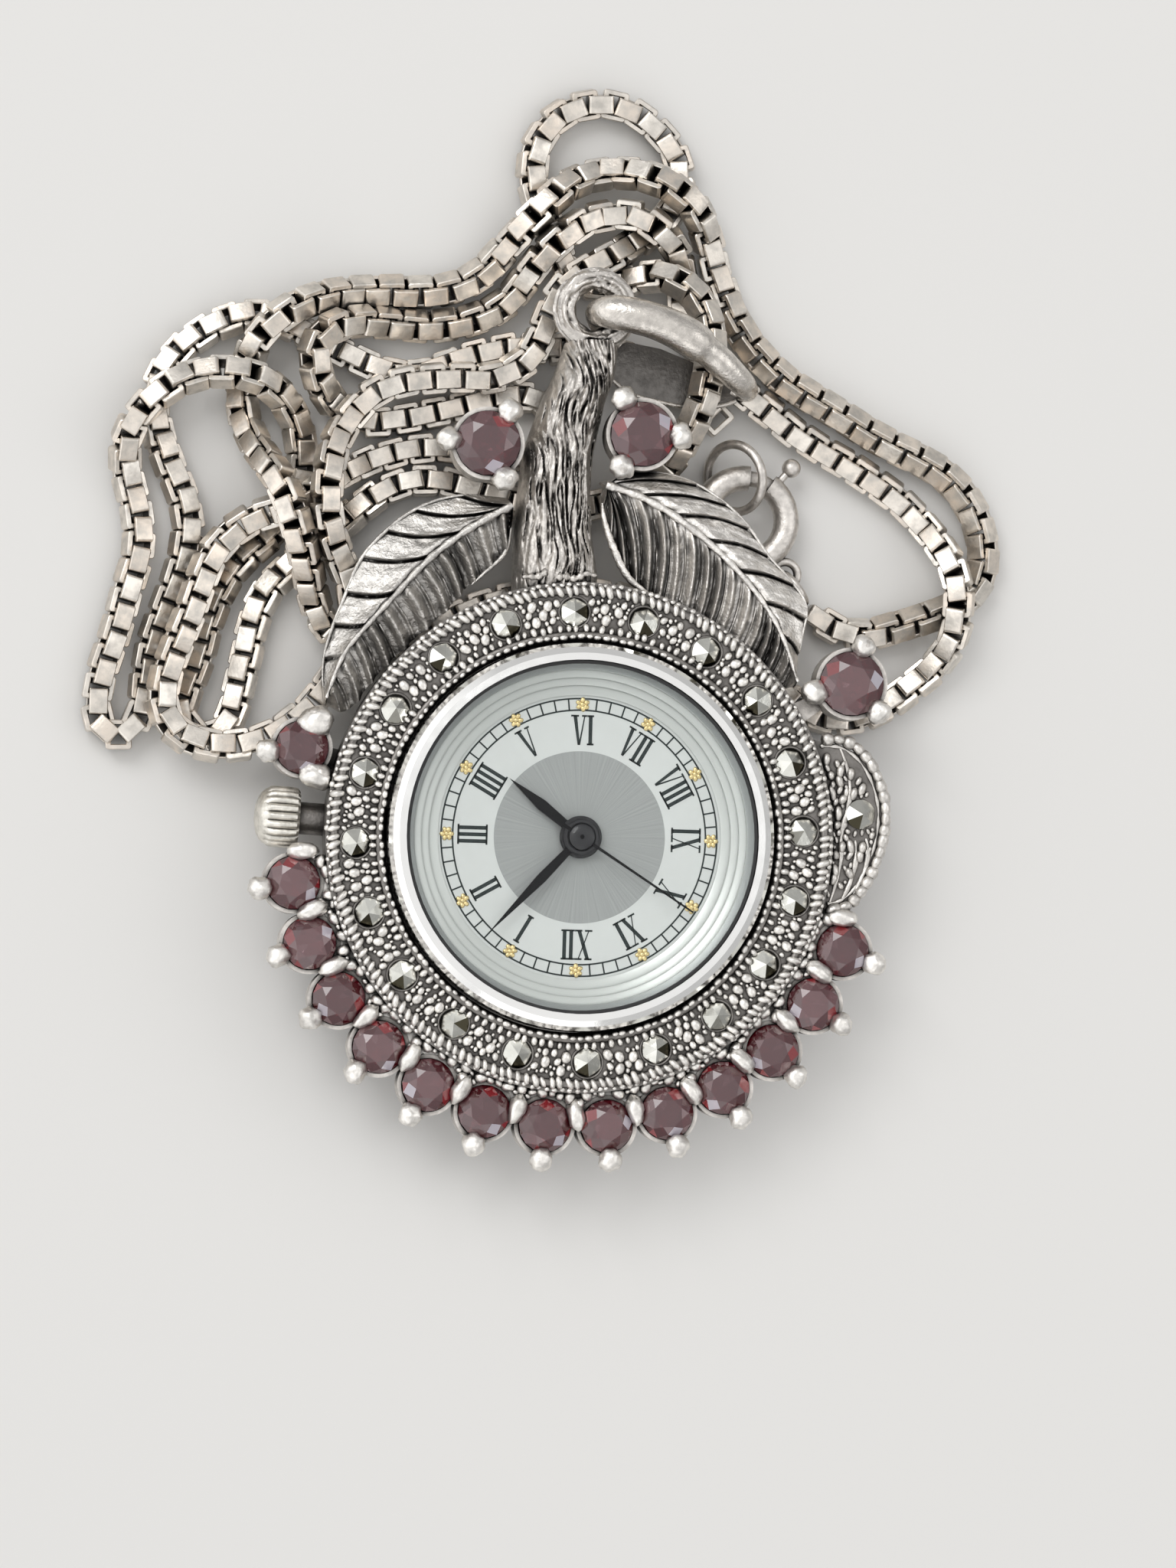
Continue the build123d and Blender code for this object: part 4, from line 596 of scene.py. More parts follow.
def clear_glass(name):
    """Clear mineral glass that lets the lamps through to what is under it."""
    made = Finish(name, (0.98, 0.99, 0.985), 0.0, 0.0, IOR=1.5, Transmission_Weight=1.0,
                  Specular_Tint=(0.2, 0.2, 0.2, 1))
    ray = made.nodes.new("ShaderNodeLightPath")
    open_way = made.nodes.new("ShaderNodeBsdfTransparent")
    choice = made.nodes.new("ShaderNodeMixShader")
    made.links.new(ray.outputs["Is Shadow Ray"], choice.inputs["Fac"])
    made.links.new(made.shader.outputs["BSDF"], choice.inputs[1])
    made.links.new(open_way.outputs["BSDF"], choice.inputs[2])
    made.links.new(choice.outputs["Shader"], made.nodes["Material Output"].inputs["Surface"])
    return made.material


def satin(name, colour, metal, rough, mottle=0.06, per_mm=3.0, depth=0.003, **sockets):
    """A plain surface with a little mottling and fine grain."""
    made = Finish(name, colour, metal, rough, **sockets)
    darker = tuple(c * (1 - mottle) for c in colour)
    cloud = made.clouds(per_mm, 4.0)
    made.lead(made.two_tone(made.spread(cloud, 0.3, 0.7), darker, colour), "Base Color")
    made.lead(made.spread(cloud, 0.2, 0.8, rough * 0.85, min(rough * 1.2, 1.0)), "Roughness")
    made.bumps(made.clouds(per_mm * 4, 2.0), depth)
    return made.material


def sunray(name, colour, metal, rough):
    """A dial face brushed outwards from its centre in fine rays."""
    made = Finish(name, colour, metal, rough)
    place = made.nodes.new("ShaderNodeTexCoord")
    split = made.nodes.new("ShaderNodeSeparateXYZ")
    made.links.new(place.outputs["Object"], split.inputs["Vector"])
    rays = made.nodes.new("ShaderNodeTexNoise")
    rays.noise_dimensions = "1D"
    rays.inputs["Scale"].default_value = 34.0
    rays.inputs["Detail"].default_value = 4.0
    heading = made.reckoned("ARCTAN2", split.outputs["Y"], split.outputs["X"])
    made.links.new(heading, rays.inputs["W"])
    share = made.spread(rays.outputs["Fac"], 0.3, 0.7)
    darker = tuple(c * 0.86 for c in colour)
    made.lead(made.two_tone(share, darker, colour), "Base Color")
    made.bumps(rays.outputs["Fac"], 0.004)
    return made.material


def gemstone(name, colour):
    """A polished garnet whose facets show its own deep red, or painted reflections and glints:
    faint, rosy grey, bright red or the pale of a window.
    """
    made = Finish(name, colour, 0.0, 0.02, IOR=GARNET_INDEX, Transmission_Weight=0.5,
                  Coat_Weight=0.5)
    # Each step over the garnet's own red is a painted reflection or glint
    steps = made.nodes.new("ShaderNodeValToRGB")
    ramp = steps.color_ramp
    ramp.interpolation = "CONSTANT"
    ramp.elements.remove(ramp.elements[1])
    ramp.elements[0].color = (*colour, 1)
    for start, shade in GARNET_REFLECTIONS_AND_GLINTS:
        ramp.elements.new(start).color = (*shade, 1)
    made.links.new(made.tone(), steps.inputs["Fac"])
    made.lead(steps.outputs["Color"], "Base Color")
    return made.material


# The chain
def route_line():
    """The chain's centreline in metres: places, lengths up to them and route point numbers."""
    line = bpy.data.curves.new("chain_route", "CURVE")
    line.dimensions = "3D"
    path = line.splines.new("NURBS")
    path.points.add(len(CHAIN_ROUTE) - 1)
    for point, place in zip(path.points, CHAIN_ROUTE):
        point.co = (*place, 1)
    path.order_u = 3
    path.use_endpoint_u = True
    path.resolution_u = 12
    holder = bpy.data.objects.new("chain_route", line)
    mesh = bpy.data.meshes.new_from_object(holder)
    places = np.array([v.co for v in mesh.vertices])
    bpy.data.objects.remove(holder)
    bpy.data.curves.remove(line)
    bpy.data.meshes.remove(mesh)
    if len(places) < len(CHAIN_ROUTE):
        raise RuntimeError("the chain's route gave too few samples")
    steps = np.linalg.norm(np.diff(places, axis=0), axis=1)
    lengths = np.concatenate(([0.0], np.cumsum(steps)))
    numbers = np.linspace(0.5, len(CHAIN_ROUTE) - 1.5, len(places))
    return places, lengths, numbers


def roll_at(number):
    """How far the chain is turned about its own line at a route point, in degrees."""
    total = 0.0
    for first, last, angle in CHAIN_ROLLS:
        rise = min(max((number - first + ROLL_EASE) / (2 * ROLL_EASE), 0.0), 1.0)
        fall = min(max((last + ROLL_EASE - number) / (2 * ROLL_EASE), 0.0), 1.0)
        total += angle * rise * fall
    return total


def link_shape(look):
    """One box link round the origin in metres: its run is along x and its hole opens along z."""
    half_run, half_side = look.link_length / 2, look.link_side / 2
    corner, gauge, half_wide = look.link_corner, look.link_gauge, look.link_width / 2
    edge = look.link_bevel
    section = ((0, -half_wide + edge), (0, half_wide - edge), (edge, half_wide),
               (gauge - edge, half_wide), (gauge, half_wide - edge), (gauge, -half_wide + edge),
               (gauge - edge, -half_wide), (edge, -half_wide))
    points = []
    for quarter, (run_side, other_side) in enumerate(((1, 1), (-1, 1), (-1, -1), (1, -1))):
        for turn in LINK_TURNS:
            heading = radians(quarter * 90 + turn)
            for inward, across in section:
                bend = max(corner - inward, edge / 2)
                x = run_side * (half_run - inward - bend) + cos(heading) * bend
                y = other_side * (half_side - inward - bend) + sin(heading) * bend
                points.append((x, y, across))
    return np.array(points), ring_faces(4 * len(LINK_TURNS), len(section))


def lay_chain(look, finish):
    """All the links along the route as one object, and the centreline's samples."""
    places, lengths, numbers = route_line()
    count = 2 * round(lengths[-1] / look.link_pitch / 2)
    pitch = lengths[-1] / count
    shape, faces = link_shape(look)
    dice = Random(11)
    points, all_faces, tones = [], [], []
    side = np.array((1.0, 0.0, 0.0))

    def spot_at(length):
        return np.array([np.interp(length, lengths, places[:, k]) for k in range(3)])

    for number in range(count):
        at = (number + 0.5) * pitch
        before, after = spot_at(at - pitch * LINK_LOOK), spot_at(at + pitch * LINK_LOOK)
        ahead = (after - before) / np.linalg.norm(after - before)
        level = np.cross((0.0, 0.0, 1.0), ahead)
        if np.linalg.norm(level) > STEEP:
            side = level / np.linalg.norm(level)
        side = side - ahead * np.dot(side, ahead)
        side /= np.linalg.norm(side)
        over = np.cross(ahead, side)
        roll = roll_at(np.interp(at, lengths, numbers)) + dice.uniform(-5, 5)
        turn = radians(roll + (90 if number % 2 else 0))
        across = side * cos(turn) + over * sin(turn)
        hole = over * cos(turn) - side * sin(turn)
        run = ahead + across * dice.uniform(-0.05, 0.05)
        run /= np.linalg.norm(run)
        lifted = spot_at(at) + np.array((0.0, 0.0, abs(sin(radians(roll))) * look.roll_lift))
        first = len(points) * len(shape)
        points.append(lifted + shape[:, :1] * run + shape[:, 1:2] * across + shape[:, 2:] * hole)
        all_faces.extend(tuple(first + i for i in face) for face in faces)
        tones.extend([dice.random()] * len(shape))
    mesh = bpy.data.meshes.new("chain_links")
    mesh.from_pydata(np.concatenate(points).tolist(), [], all_faces)
    mesh.attributes.new("tone", "FLOAT", "POINT").data.foreach_set("value", tones)
    mesh.shade_smooth()
    mesh.set_sharp_from_angle(angle=radians(30))
    mesh.materials.append(finish)
    made = bpy.data.objects.new("chain_links", mesh)
    bpy.context.collection.objects.link(made)
    return made, places, lengths[-1]


def chain_finish(look):
    """The chain's silver: paler than the ornament, each link its own tone, dark inside."""
    light, rough = tuple(look.chain_light), look.chain_roughness
    made = Finish("chain silver", light, 1.0, rough)
    warm = tuple(c * k for c, k in zip(light, (0.92, 0.86, 0.81)))
    dull = tuple(c * 0.66 for c in light)
    cloud = made.clouds(1.6, 5.0)
    bare = made.two_tone(made.tone(), warm, light)
    worn = made.two_tone(made.spread(cloud, 0.32, 0.6), dull, bare)
    outside = made.spread(made.openness(0.6), 0.12, 0.6)
    made.lead(made.two_tone(outside, tuple(look.oxide), worn), "Base Color")
    made.lead(made.spread(cloud, 0.25, 0.7, rough * 1.25, rough * 0.8), "Roughness")
    made.bumps(made.clouds(6.0, 3.0), 0.012)
    return made.material


# Stones
def leaning(points, middle, degrees_over, heading):
    """Points tipped over a level axis through a middle."""
    axis = Vector((cos(radians(heading)), sin(radians(heading)), 0))
    tip = Matrix.Rotation(radians(degrees_over), 3, axis)
    return [tip @ (Vector(p) - middle) + middle for p in points]


def brilliant(heap, centre, low, radius, look, dice, tilt):
    """A round brilliant-cut stone, whose girdle starts at low, leaning by up to tilt degrees."""
    x, y = centre
    turn, lean = dice.uniform(0, 45), dice.uniform(-tilt, tilt)
    glint = round((dice.choice((-70, -50, -30, 10, 215)) - turn) / 45) % 8

    def at(share, step, height):
        px, py = polar(radius * share, turn + step * 22.5)
        return x + px, y + py, height

    table, crown, pavilion = look.stone_table, look.stone_crown, look.stone_pavilion
    high = low + look.stone_girdle
    flat = cos(radians(22.5))
    kite_reach, keel_reach = 0.8, 0.32
    kite_drop = crown * (1 - kite_reach * flat) / (1 - table)
    keel_drop = pavilion * (1 - keel_reach * flat)
    kites, rim, foot, keels, culet = 8, 16, 32, 48, 56
    points = [at(table, 2 * k, high + crown) for k in range(8)]
    points += [at(kite_reach, 2 * k + 1, high + kite_drop) for k in range(8)]
    points += [at(1, k, high) for k in range(16)]
    points += [at(1, k, low) for k in range(16)]
    points += [at(keel_reach, 2 * k + 1, low - keel_drop) for k in range(8)]
    points.append((x, y, low - pavilion))
    faces = [tuple(range(8))]
    # Facet tones paint reflections: the table a faint or rosy-grey one, one kite the window's pale
    # reflection, another a red glint, the rest at random; the girdle and back keep the deep red
    tones = [dice.uniform(0.35, 0.55)]
    for k in range(8):
        after, before = (k + 1) % 8, (k + 7) % 8
        near, mid, far = 2 * k, 2 * k + 1, (2 * k + 2) % 16
        if k == glint:
            kite_tone = WINDOW
        elif k == (glint + 3) % 8:
            kite_tone = RED_GLINT
        else:
            kite_tone = dice.choice((DEEP, FAINT_REFLECTION, FAINT_REFLECTION, GREY_REFLECTION))
        tones += [dice.choice((DEEP, FAINT_REFLECTION, GREY_REFLECTION)), kite_tone, dice.uniform(DEEP, GREY_REFLECTION),
                  dice.choice((DEEP, FAINT_REFLECTION, GREY_REFLECTION, RED_GLINT))]
        tones += [DEEP] * 5
        faces += [
            (k, kites + k, after),
            (k, kites + before, rim + near, kites + k),
            (kites + k, rim + near, rim + mid),
            (kites + k, rim + mid, rim + far),
            (rim + near, foot + near, foot + mid, rim + mid),
            (rim + mid, foot + mid, foot + far, rim + far),
            (culet, keels + k, foot + near, keels + before),
            (keels + k, foot + mid, foot + near),
            (keels + k, foot + far, foot + mid)]
    heap.add(leaning(points, Vector((x, y, low)), lean, turn * 7), faces, tones)


def rose_cut(heap, centre, top, look, turn, tilt, dice):
    """A six-sided marcasite: top is the height of its rim, tilt leans it a little."""
    # Six facets at random tones, one painted bright as a glint and one painted dark as a dark
    # reflection; the sides and back at one tone
    tones = [dice.uniform(0.5, 0.85) for _ in range(6)]
    tones[dice.randrange(3)] = 1.0
    tones[3 + dice.randrange(3)] = dice.choice((0.0, 0.0, 0.2))
    tones += [0.65] * 48
    rim, foot, culet = 1, 25, 49
    points = [(0.0, 0.0, look.marcasite_crown)]
    for k in range(24):
        share = cos(radians(30)) / cos(radians(k % 4 * 15 - 30)) if k % 4 else 1.0
        px, py = polar(look.marcasite_radius, turn + k * 15)
        points.append((px, py, look.marcasite_crown * (1 - 1 / share)))
    for k in range(24):
        points.append((*polar(look.marcasite_radius, turn + k * 15), -look.marcasite_girdle))
    points.append((0.0, 0.0, -look.marcasite_girdle - look.marcasite_pavilion))
    faces = [(0,) + tuple(rim + (4 * k + j) % 24 for j in range(5)) for k in range(6)]
    for k in range(24):
        after = (k + 1) % 24
        faces.append((rim + k, foot + k, foot + after, rim + after))
        faces.append((foot + k, culet, foot + after))
    place = Vector((*centre, top))
    tipped = leaning(points, Vector((0, 0, 0)), tilt, turn * 3)
    heap.add([p + place for p in tipped], faces, tones)


# Leaves, bark and lobe
def along(line, share):
    """The point at a share of the length of a line of points."""
    line = [Vector(p) for p in line]
    lengths = [0.0]
    for a, b in zip(line, line[1:]):
        lengths.append(lengths[-1] + (b - a).length)
    at = min(max(share, 0.0), 1.0) * lengths[-1]
    for a, b, start, end in zip(line, line[1:], lengths, lengths[1:]):
        if at <= end:
            return a.lerp(b, (at - start) / max(end - start, 1e-9))
    return line[-1]


def smooth_line(corners, rounds=3):
    """A line of points with its corners rounded off, ends kept."""
    line = [Vector(c) for c in corners]
    for _ in range(rounds):
        cut = [line[0]]
        for a, b in zip(line, line[1:]):
            cut += [a.lerp(b, 0.25), a.lerp(b, 0.75)]
        line = cut + [line[-1]]
    return line


def rib_height(part, comb):
    """Relief across one rib: a narrow ridge in a comb, else a slope that ends in a step."""
    if comb:
        return exp(-((part - 0.5) / 0.2) ** 2) + 0.3 * exp(-((part - 0.03) / 0.07) ** 2)
    return (0.35 + 0.65 * part) * min(1.0, part / 0.07) * min(1.0, (1 - part) / 0.1)


def leaf_side(heap, midrib, edge, look, half):
    """Half a leaf: lines from midrib to edge, slanted forward, raised into lobes or a comb."""
    fan, shift, ribs, depth, seed = half
    steps, across = look.leaf_steps, look.leaf_across
    dice = Random(seed)
    comb = ribs >= COMB_RIBS
    wander = [dice.uniform(-0.12, 0.12) for _ in range(ribs + 2)]
    swing = [dice.uniform(0.6, 1.15) for _ in range(ribs + 2)]
    bow = 0.06 * (1 if shift > 0.2 else 0.5)
    rows = []
    for i in range(steps + 1):
        share = i / steps
        past_fan = (share - fan) / (1 - fan)
        root = along(midrib, max(0.0, past_fan))
        tip_share = shift * share / fan if share < fan else blend_of(shift, 1, past_fan)
        tip = along(edge, tip_share)
        aside = Vector((-(tip - root).y, (tip - root).x))
        row = []
        for j in range(across + 1):
            out = j / across
            swerve = 0.3 * noise.noise(Vector((share * ribs * 0.45, out * 0.7, seed)))
            phase = min(max(share * ribs + swerve, 0.0), ribs + 0.99)
            k = int(phase)
            notch = rib_height(phase - k, comb)
            spot = root.lerp(tip, out * (0.96 + 0.04 * min(notch, 1.0)))
            spot = spot + aside * sin(out * pi) * bow
            ridge = notch * depth * swing[k] * min(1.0, out * 5) * (1 - 0.3 * out)
            ridge += wander[k] * out * 0.3
            fine = noise.noise(Vector((spot.x * 2.6, spot.y * 2.6, seed))) * 0.06
            fine += noise.noise(Vector((phase * 4.2, out * 2.2, seed))) * 0.045
            rise = blend_of(look.leaf_mid_rise, look.leaf_edge_rise, out ** 0.8)
            row.append((spot.x, spot.y, look.leaf_low + rise + ridge + fine))
        rows.append(row)
    block(heap, rows, look.leaf_low)


def leaf(name, midrib, edges, look, halves, finish, rims):
    """A leaf from its midrib and two edges: a raised sheet with a thin midrib and bright rims.
    A rim is the edge it lies on, the shares where it starts and ends, its radius and height."""
    heap = Heap()
    rib = smooth_line(midrib)
    for edge, half in zip(edges, halves):
        leaf_side(heap, rib, smooth_line(edge, 2), look, half)
    line, radii = [], []
    for i in range(RIB_STEPS + 1):
        spot = along(rib, i / RIB_STEPS)
        line.append((spot.x, spot.y, look.leaf_low + look.leaf_mid_rise + 0.1))
        radii.append(blend_of(0.2, 0.09, i / RIB_STEPS) * (1 + 0.2 * sin(i * 1.9)))
    wire(heap, line, radii)
    for edge, start, end, thick, height in rims:
        side, line, radii = smooth_line(edge, 2), [], []
        for i in range(RIM_STEPS + 1):
            share = i / RIM_STEPS
            spot = along(side, blend_of(start, end, share))
            line.append((spot.x, spot.y, look.leaf_low + height))
            radii.append(0.04 + thick * sin(pi * share) ** 0.6 * (1 + 0.15 * sin(i * 2.3)))
        wire(heap, line, radii, 10)
    return heap.piece(f"{name}_blade", "watch", "silver", finish, 50, (name,))


def bark_height(across, up, seed):
    """Bark relief from 0 to 1: short ridges that run up the stem, split and join."""
    drift = noise.noise(Vector((across * 0.5, up * 0.45, seed))) * 0.6
    total = 0.0
    for fine, long, weight in ((2.3, 0.36, 0.5), (4.6, 0.75, 0.5)):
        wave = noise.noise(Vector(((across + drift) * fine, up * long, seed + fine)))
        total += weight * (1 - min(1.0, abs(wave) * 3.6))
    return total


def bark(heap, look):
    """The stem: a broad trunk up to the eye, with bark raised on it and a lip at its foot."""
    rows = []
    levels = [row[0] for row in TRUNK]
    for i in range(look.bark_steps + 1):
        y = blend_of(levels[0], levels[-1], i / look.bark_steps)
        left, right, tall = (
            float(np.interp(y, levels, [row[k] for row in TRUNK])) for k in (1, 2, 3))
        row = []
        for j in range(look.bark_across + 1):
            out = j / look.bark_across
            x = blend_of(left, right, out)
            round_over = max(0.0, 1 - abs(2 * out - 1) ** 3.4) ** 0.5
            grit = noise.noise(Vector((x * 8.0, y * 3.0, 5.0))) * 0.06
            groove = look.bark_depth * bark_height(x, y, 3.0) * min(1.0, round_over * 3)
            rise = tall * round_over + grit - groove
            row.append((x, y, look.bark_low + max(rise + 0.12, 0.02)))
        rows.append(row)
    block(heap, rows, look.bark_low)
    lip, radii = [], []
    for k, x in enumerate(np.linspace(*LIP_ENDS, LIP_POINTS)):
        wave = 0.09 * sin(x * 3.1) + 0.05 * sin(x * 7)
        lip.append((x, LIP_HEIGHT + wave, look.ring_top - 0.06))
        swell = 0.19 * sin(pi * (k + 1) / (LIP_POINTS + 1)) ** 0.4
        radii.append(swell * (1 + 0.3 * sin(k * 1.7)))
    wire(heap, lip, radii, 10)


def eye_loop(heap, look):
    """The loop at the stem's top, its wire covered in the same bark."""
    x, y = EYE
    steps, sides = 150, 48
    points = []
    for i in range(steps):
        heading = 360 * i / steps
        around = look.eye_radius * tau * abs(i / steps - 0.5)
        rough = 1.0 if 60 < heading < 300 else 0.45
        for k in range(sides):
            turn = tau * k / sides
            groove = bark_height(look.eye_wire * abs(turn - pi), around, 9.0) * rough
            groove += 0.6 * (0.5 - 0.5 * cos(turn * 8 + sin(heading / 25)))
            reach = look.eye_wire + 0.05 - look.bark_depth * 0.5 * groove
            px, py = polar(look.eye_radius + reach * cos(turn), heading)
            points.append((x + px, y + py, look.eye_height + reach * sin(turn)))
    heap.add(points, ring_faces(steps, sides))


def bail_arm(heap, steps=70):
    """The bail's wire: thick where it hangs in the eye, thinner past its bend."""
    line = [along(smooth_line(BAIL_ARM), k / steps) for k in range(steps + 1)]
    shares, radii = zip(*BAIL_ARM_RADII)
    wire(heap, line, [float(np.interp(k / steps, shares, radii)) for k in range(steps + 1)], 20)


def lathe(heap, outline, steps=180, centre=(0, 0)):
    """A ring turned round a centre from a closed outline of (radius, height)."""
    points = []
    for i in range(steps):
        for radius, height in outline:
            x, y = polar(radius, i * 360 / steps)
            points.append((centre[0] + x, centre[1] + y, height))
    heap.add(points, ring_faces(steps, len(outline)))


def lobe_detail(heap, shapes, look):
    """The side lobe: a heavy scalloped rim, long ridges and a bed of grains."""
    dice = Random(8)
    rim = smooth_line(LOBE_RIM, 2)
    centre_x, centre_y = LOBE_CENTRE
    inner = smooth_line([(blend_of(centre_x, x, 0.92), blend_of(centre_y, y, 0.92), look.lobe_top)
                         for x, y in LOBE_RIM], 2)
    wire(heap, inner, [0.08 * (1 + 0.5 * sin(k * 1.9)) for k in range(len(inner))], 8)
    lumps = 21
    for i in range(lumps):
        spot, ahead = along(rim, (i + 0.5) / lumps), along(rim, (i + 0.7) / lumps)
        sizes = (0.4 * dice.uniform(0.8, 1.2), 0.3 * dice.uniform(0.8, 1.1), 0.3)
        grain_drop(heap, dice.choice(shapes), (spot.x, spot.y, look.lobe_top), sizes,
                   heading_of(*(ahead - spot)))
    lines = []
    for ridge in LOBE_RIDGES:
        line = smooth_line([(x, y, look.lobe_top - 0.02) for x, y in ridge], 2)
        radii = [0.05 + 0.09 * sin(pi * k / (len(line) - 1)) * (1 + 0.45 * sin(k * 1.3))
                 for k in range(len(line))]
        wire(heap, line, radii, 8)
        lines += [p.xy for p in line[::3]]

    def somewhere(dice):
        return dice.uniform(*LOBE_SPAN), dice.uniform(*LOBE_HEIGHT)

    def on_face(x, y, size):
        from_stone = hypot(x - LOBE_STONE[0], y - LOBE_STONE[1])
        return (from_stone > look.marcasite_radius + 0.05 + size and hypot(x, y) > 11.8 + size
                and hypot(x - centre_x, y - centre_y) < LOBE_RADIUS - size)

    for x, y, size in scatter(dice, somewhere, on_face, LOBE_TIERS):
        if min((spot - Vector((x, y))).length for spot in lines) > 0.12 + size * 0.6:
            sizes = (size * dice.uniform(1.0, 1.9), size * 0.9, size)
            grain_drop(heap, dice.choice(shapes), (x, y, look.lobe_top + 0.02), sizes,
                       90 + dice.uniform(-35, 35))


def ring_grains(heap, shapes, look):
    """The ring's face: rows of beads at its edges and a bed of grains between its stones."""
    dice = Random(5)
    top = look.ring_top
    stones = stone_places(look)
    for radius, count, sizes, slant, jitter, lift in RING_ROWS:
        for i in range(count):
            angle = i * 360 / count
            x, y = polar(radius + dice.uniform(-0.04, 0.04), angle + dice.uniform(-0.25, 0.25))
            grown = dice.uniform(0.82, 1.15)
            grain_drop(heap, dice.choice(shapes), (x, y, top + lift),
                       tuple(s * grown for s in sizes),
                       angle + slant + dice.uniform(-jitter, jitter))
    inner, outer = RING_BED

    def between(x, y, size):
        if not inner + size < hypot(x, y) < outer - size:
            return False
        from_stones = min(hypot(x - a, y - b) for a, b in stones)
        return from_stones > look.marcasite_radius + STONE_GAP + size

    def somewhere(dice):
        return polar(dice.uniform(9.95, 11.0), dice.uniform(0, 360))

    for x, y, size in scatter(dice, somewhere, between, RING_TIERS):
        sizes = (size * 1.2, size * 0.92, 0.14 + size * 0.3)
        grain_drop(heap, dice.choice(shapes), (x, y, top + 0.02), sizes,
                   heading_of(x, y) + dice.uniform(-35, 35))


def gallery_grains(heap, shapes, look):
    """Grains and a web that fill the gap between the ring and the lower row of garnets."""
    dice = Random(12)
    stones = small_stone_places()

    def somewhere(dice):
        return polar(dice.uniform(*GALLERY_BED), dice.uniform(*GALLERY_ARC))

    def in_gap(x, y, size):
        return min(hypot(x - a, y - b) for a, b in stones) > look.small_stone + 0.08 + size

    for x, y, size in scatter(dice, somewhere, in_gap, GALLERY_TIERS):
        grain_drop(heap, dice.choice(shapes), (x, y, look.cap_height - 0.14),
                   (size * 1.3, size, size * 1.2), dice.uniform(0, 180))
    web = []
    for k in range(WEB_STEPS + 1):
        angle = blend_of(*WEB_ARC, k / WEB_STEPS)
        web.append([(*polar(reach, angle), look.stone_low - 0.04) for reach in WEB_REACHES])
    block(heap, web, look.stone_low - 0.5)


def prong_caps(heap, shapes, look):
    """Bright beads over the prongs, and the drops that the lower row's neighbours share."""
    dice = Random(9)
    radius, first, step, count = SMALL_STONES
    for k in range(count):
        angle = first + step * k
        x, y = polar(radius + look.small_stone + 0.36, angle)
        grain_drop(heap, dice.choice(shapes), (x, y, look.cap_height), BEAD,
                   angle + dice.uniform(-15, 15))
    for k in range(count + 1):
        angle = first + step * (k - 0.5)
        x, y = polar(radius - 0.55, angle)
        grain_drop(heap, dice.choice(shapes), (x, y, look.cap_height), DROP,
                   angle + dice.uniform(-12, 12))
    for (x, y), lift, sizes, heading in BEADS:
        grain_drop(heap, dice.choice(shapes), (x, y, look.cap_height - 0.1 + lift), sizes, heading)


def stone_cups(heap, look):
    """A thin turned-over rim round each marcasite."""
    outline = []
    for k in range(8):
        reach = look.marcasite_radius + STONE_GAP + CUP_RIM * cos(tau * k / 8)
        outline.append((reach, look.ring_top + CUP_RIM * sin(tau * k / 8)))
    for place in stone_places(look):
        lathe(heap, outline, 28, place)


def stone_places(look):
    """Where the ring's marcasites sit."""
    step = 360 / STONE_COUNT
    return [polar(STONE_CIRCLE, look.first_stone + step * k) for k in range(STONE_COUNT)]


def small_stone_places():
    """Where the lower row's garnets sit."""
    radius, first, step, count = SMALL_STONES
    return [polar(radius, first + step * k) for k in range(count)]


def crown_barrel(heap, look):
    """The fluted crown as a barrel along its own line, with a domed outer face."""
    steps, flutes = 240, 20
    points = []
    for run, radius in CROWN_OUTLINE:
        ribbed = 1.0 if 0.1 < run < 1.45 else 0.4 if run < 1.55 else 0.0
        for i in range(steps):
            turn = tau * i / steps
            reach = radius - 0.17 * ribbed * (1 - abs(cos(turn * flutes / 2)) ** 0.8)
            points.append((look.crown_start + run, reach * cos(turn), reach * sin(turn)))
    faces = ring_faces(len(CROWN_OUTLINE), steps, closed=False)
    last = len(points) - steps
    faces.append(tuple(range(steps)))
    faces.append(tuple(reversed(range(last, last + steps))))
    c, s = cos(radians(CROWN_HEADING)), sin(radians(CROWN_HEADING))
    heap.add([(x * c - y * s, x * s + y * c, look.crown_height + z) for x, y, z in points], faces)


# Dial printing
def numeral(heap, text, angle, look):
    """A roman numeral with its feet towards the dial's centre."""
    widths = {"I": 0.285, "V": 0.74, "X": 0.8}
    gap, serif = 0.02, 0.085
    out, right = Vector(polar(1, angle)), Vector(polar(1, angle - 90))
    tall, thick, thin = look.numeral_height, look.thick_stroke, look.thin_stroke

    def stroke(foot_left, foot_right, foot, head_left, head_right, head):
        corners = []
        for across, up in ((foot_left, foot), (foot_right, foot), (head_right, head),
                           (head_left, head)):
            spot = out * (look.numeral_foot + up) + right * across
            corners.append((spot.x, spot.y))
        plate(heap, corners, look.print_low, look.print_high)

    def straight(start, end, foot, head):
        stroke(start, end, foot, start, end, head)

    x = -(sum(widths[c] for c in text) + gap * (len(text) - 1)) / 2
    for letter in text:
        end = x + widths[letter]
        if letter == "I":
            middle = (x + end) / 2
            straight(middle - thick / 2, middle + thick / 2, 0, tall)
            for up in (0, tall - serif):
                straight(x - 0.012, end + 0.012, up, up + serif)
        if letter == "V":
            tip = x + widths[letter] * 0.52
            stroke(tip - 0.06, tip + 0.05, 0, x + 0.1, x + 0.1 + thick, tall)
            stroke(tip - 0.02, tip + thin, 0, end - 0.13, end - 0.13 + thin, tall)
            straight(x, x + 0.36, tall - serif, tall)
            straight(end - 0.24, end, tall - serif, tall)
        if letter == "X":
            stroke(end - 0.1 - thick, end - 0.1, 0, x + 0.1, x + 0.1 + thick, tall)
            stroke(x + 0.12, x + 0.12 + thin, 0, end - 0.14 - thin, end - 0.14, tall)
            for up in (0, tall - serif):
                straight(x, x + 0.34, up, up + serif)
                straight(end - 0.34, end, up, up + serif)
        x = end + gap


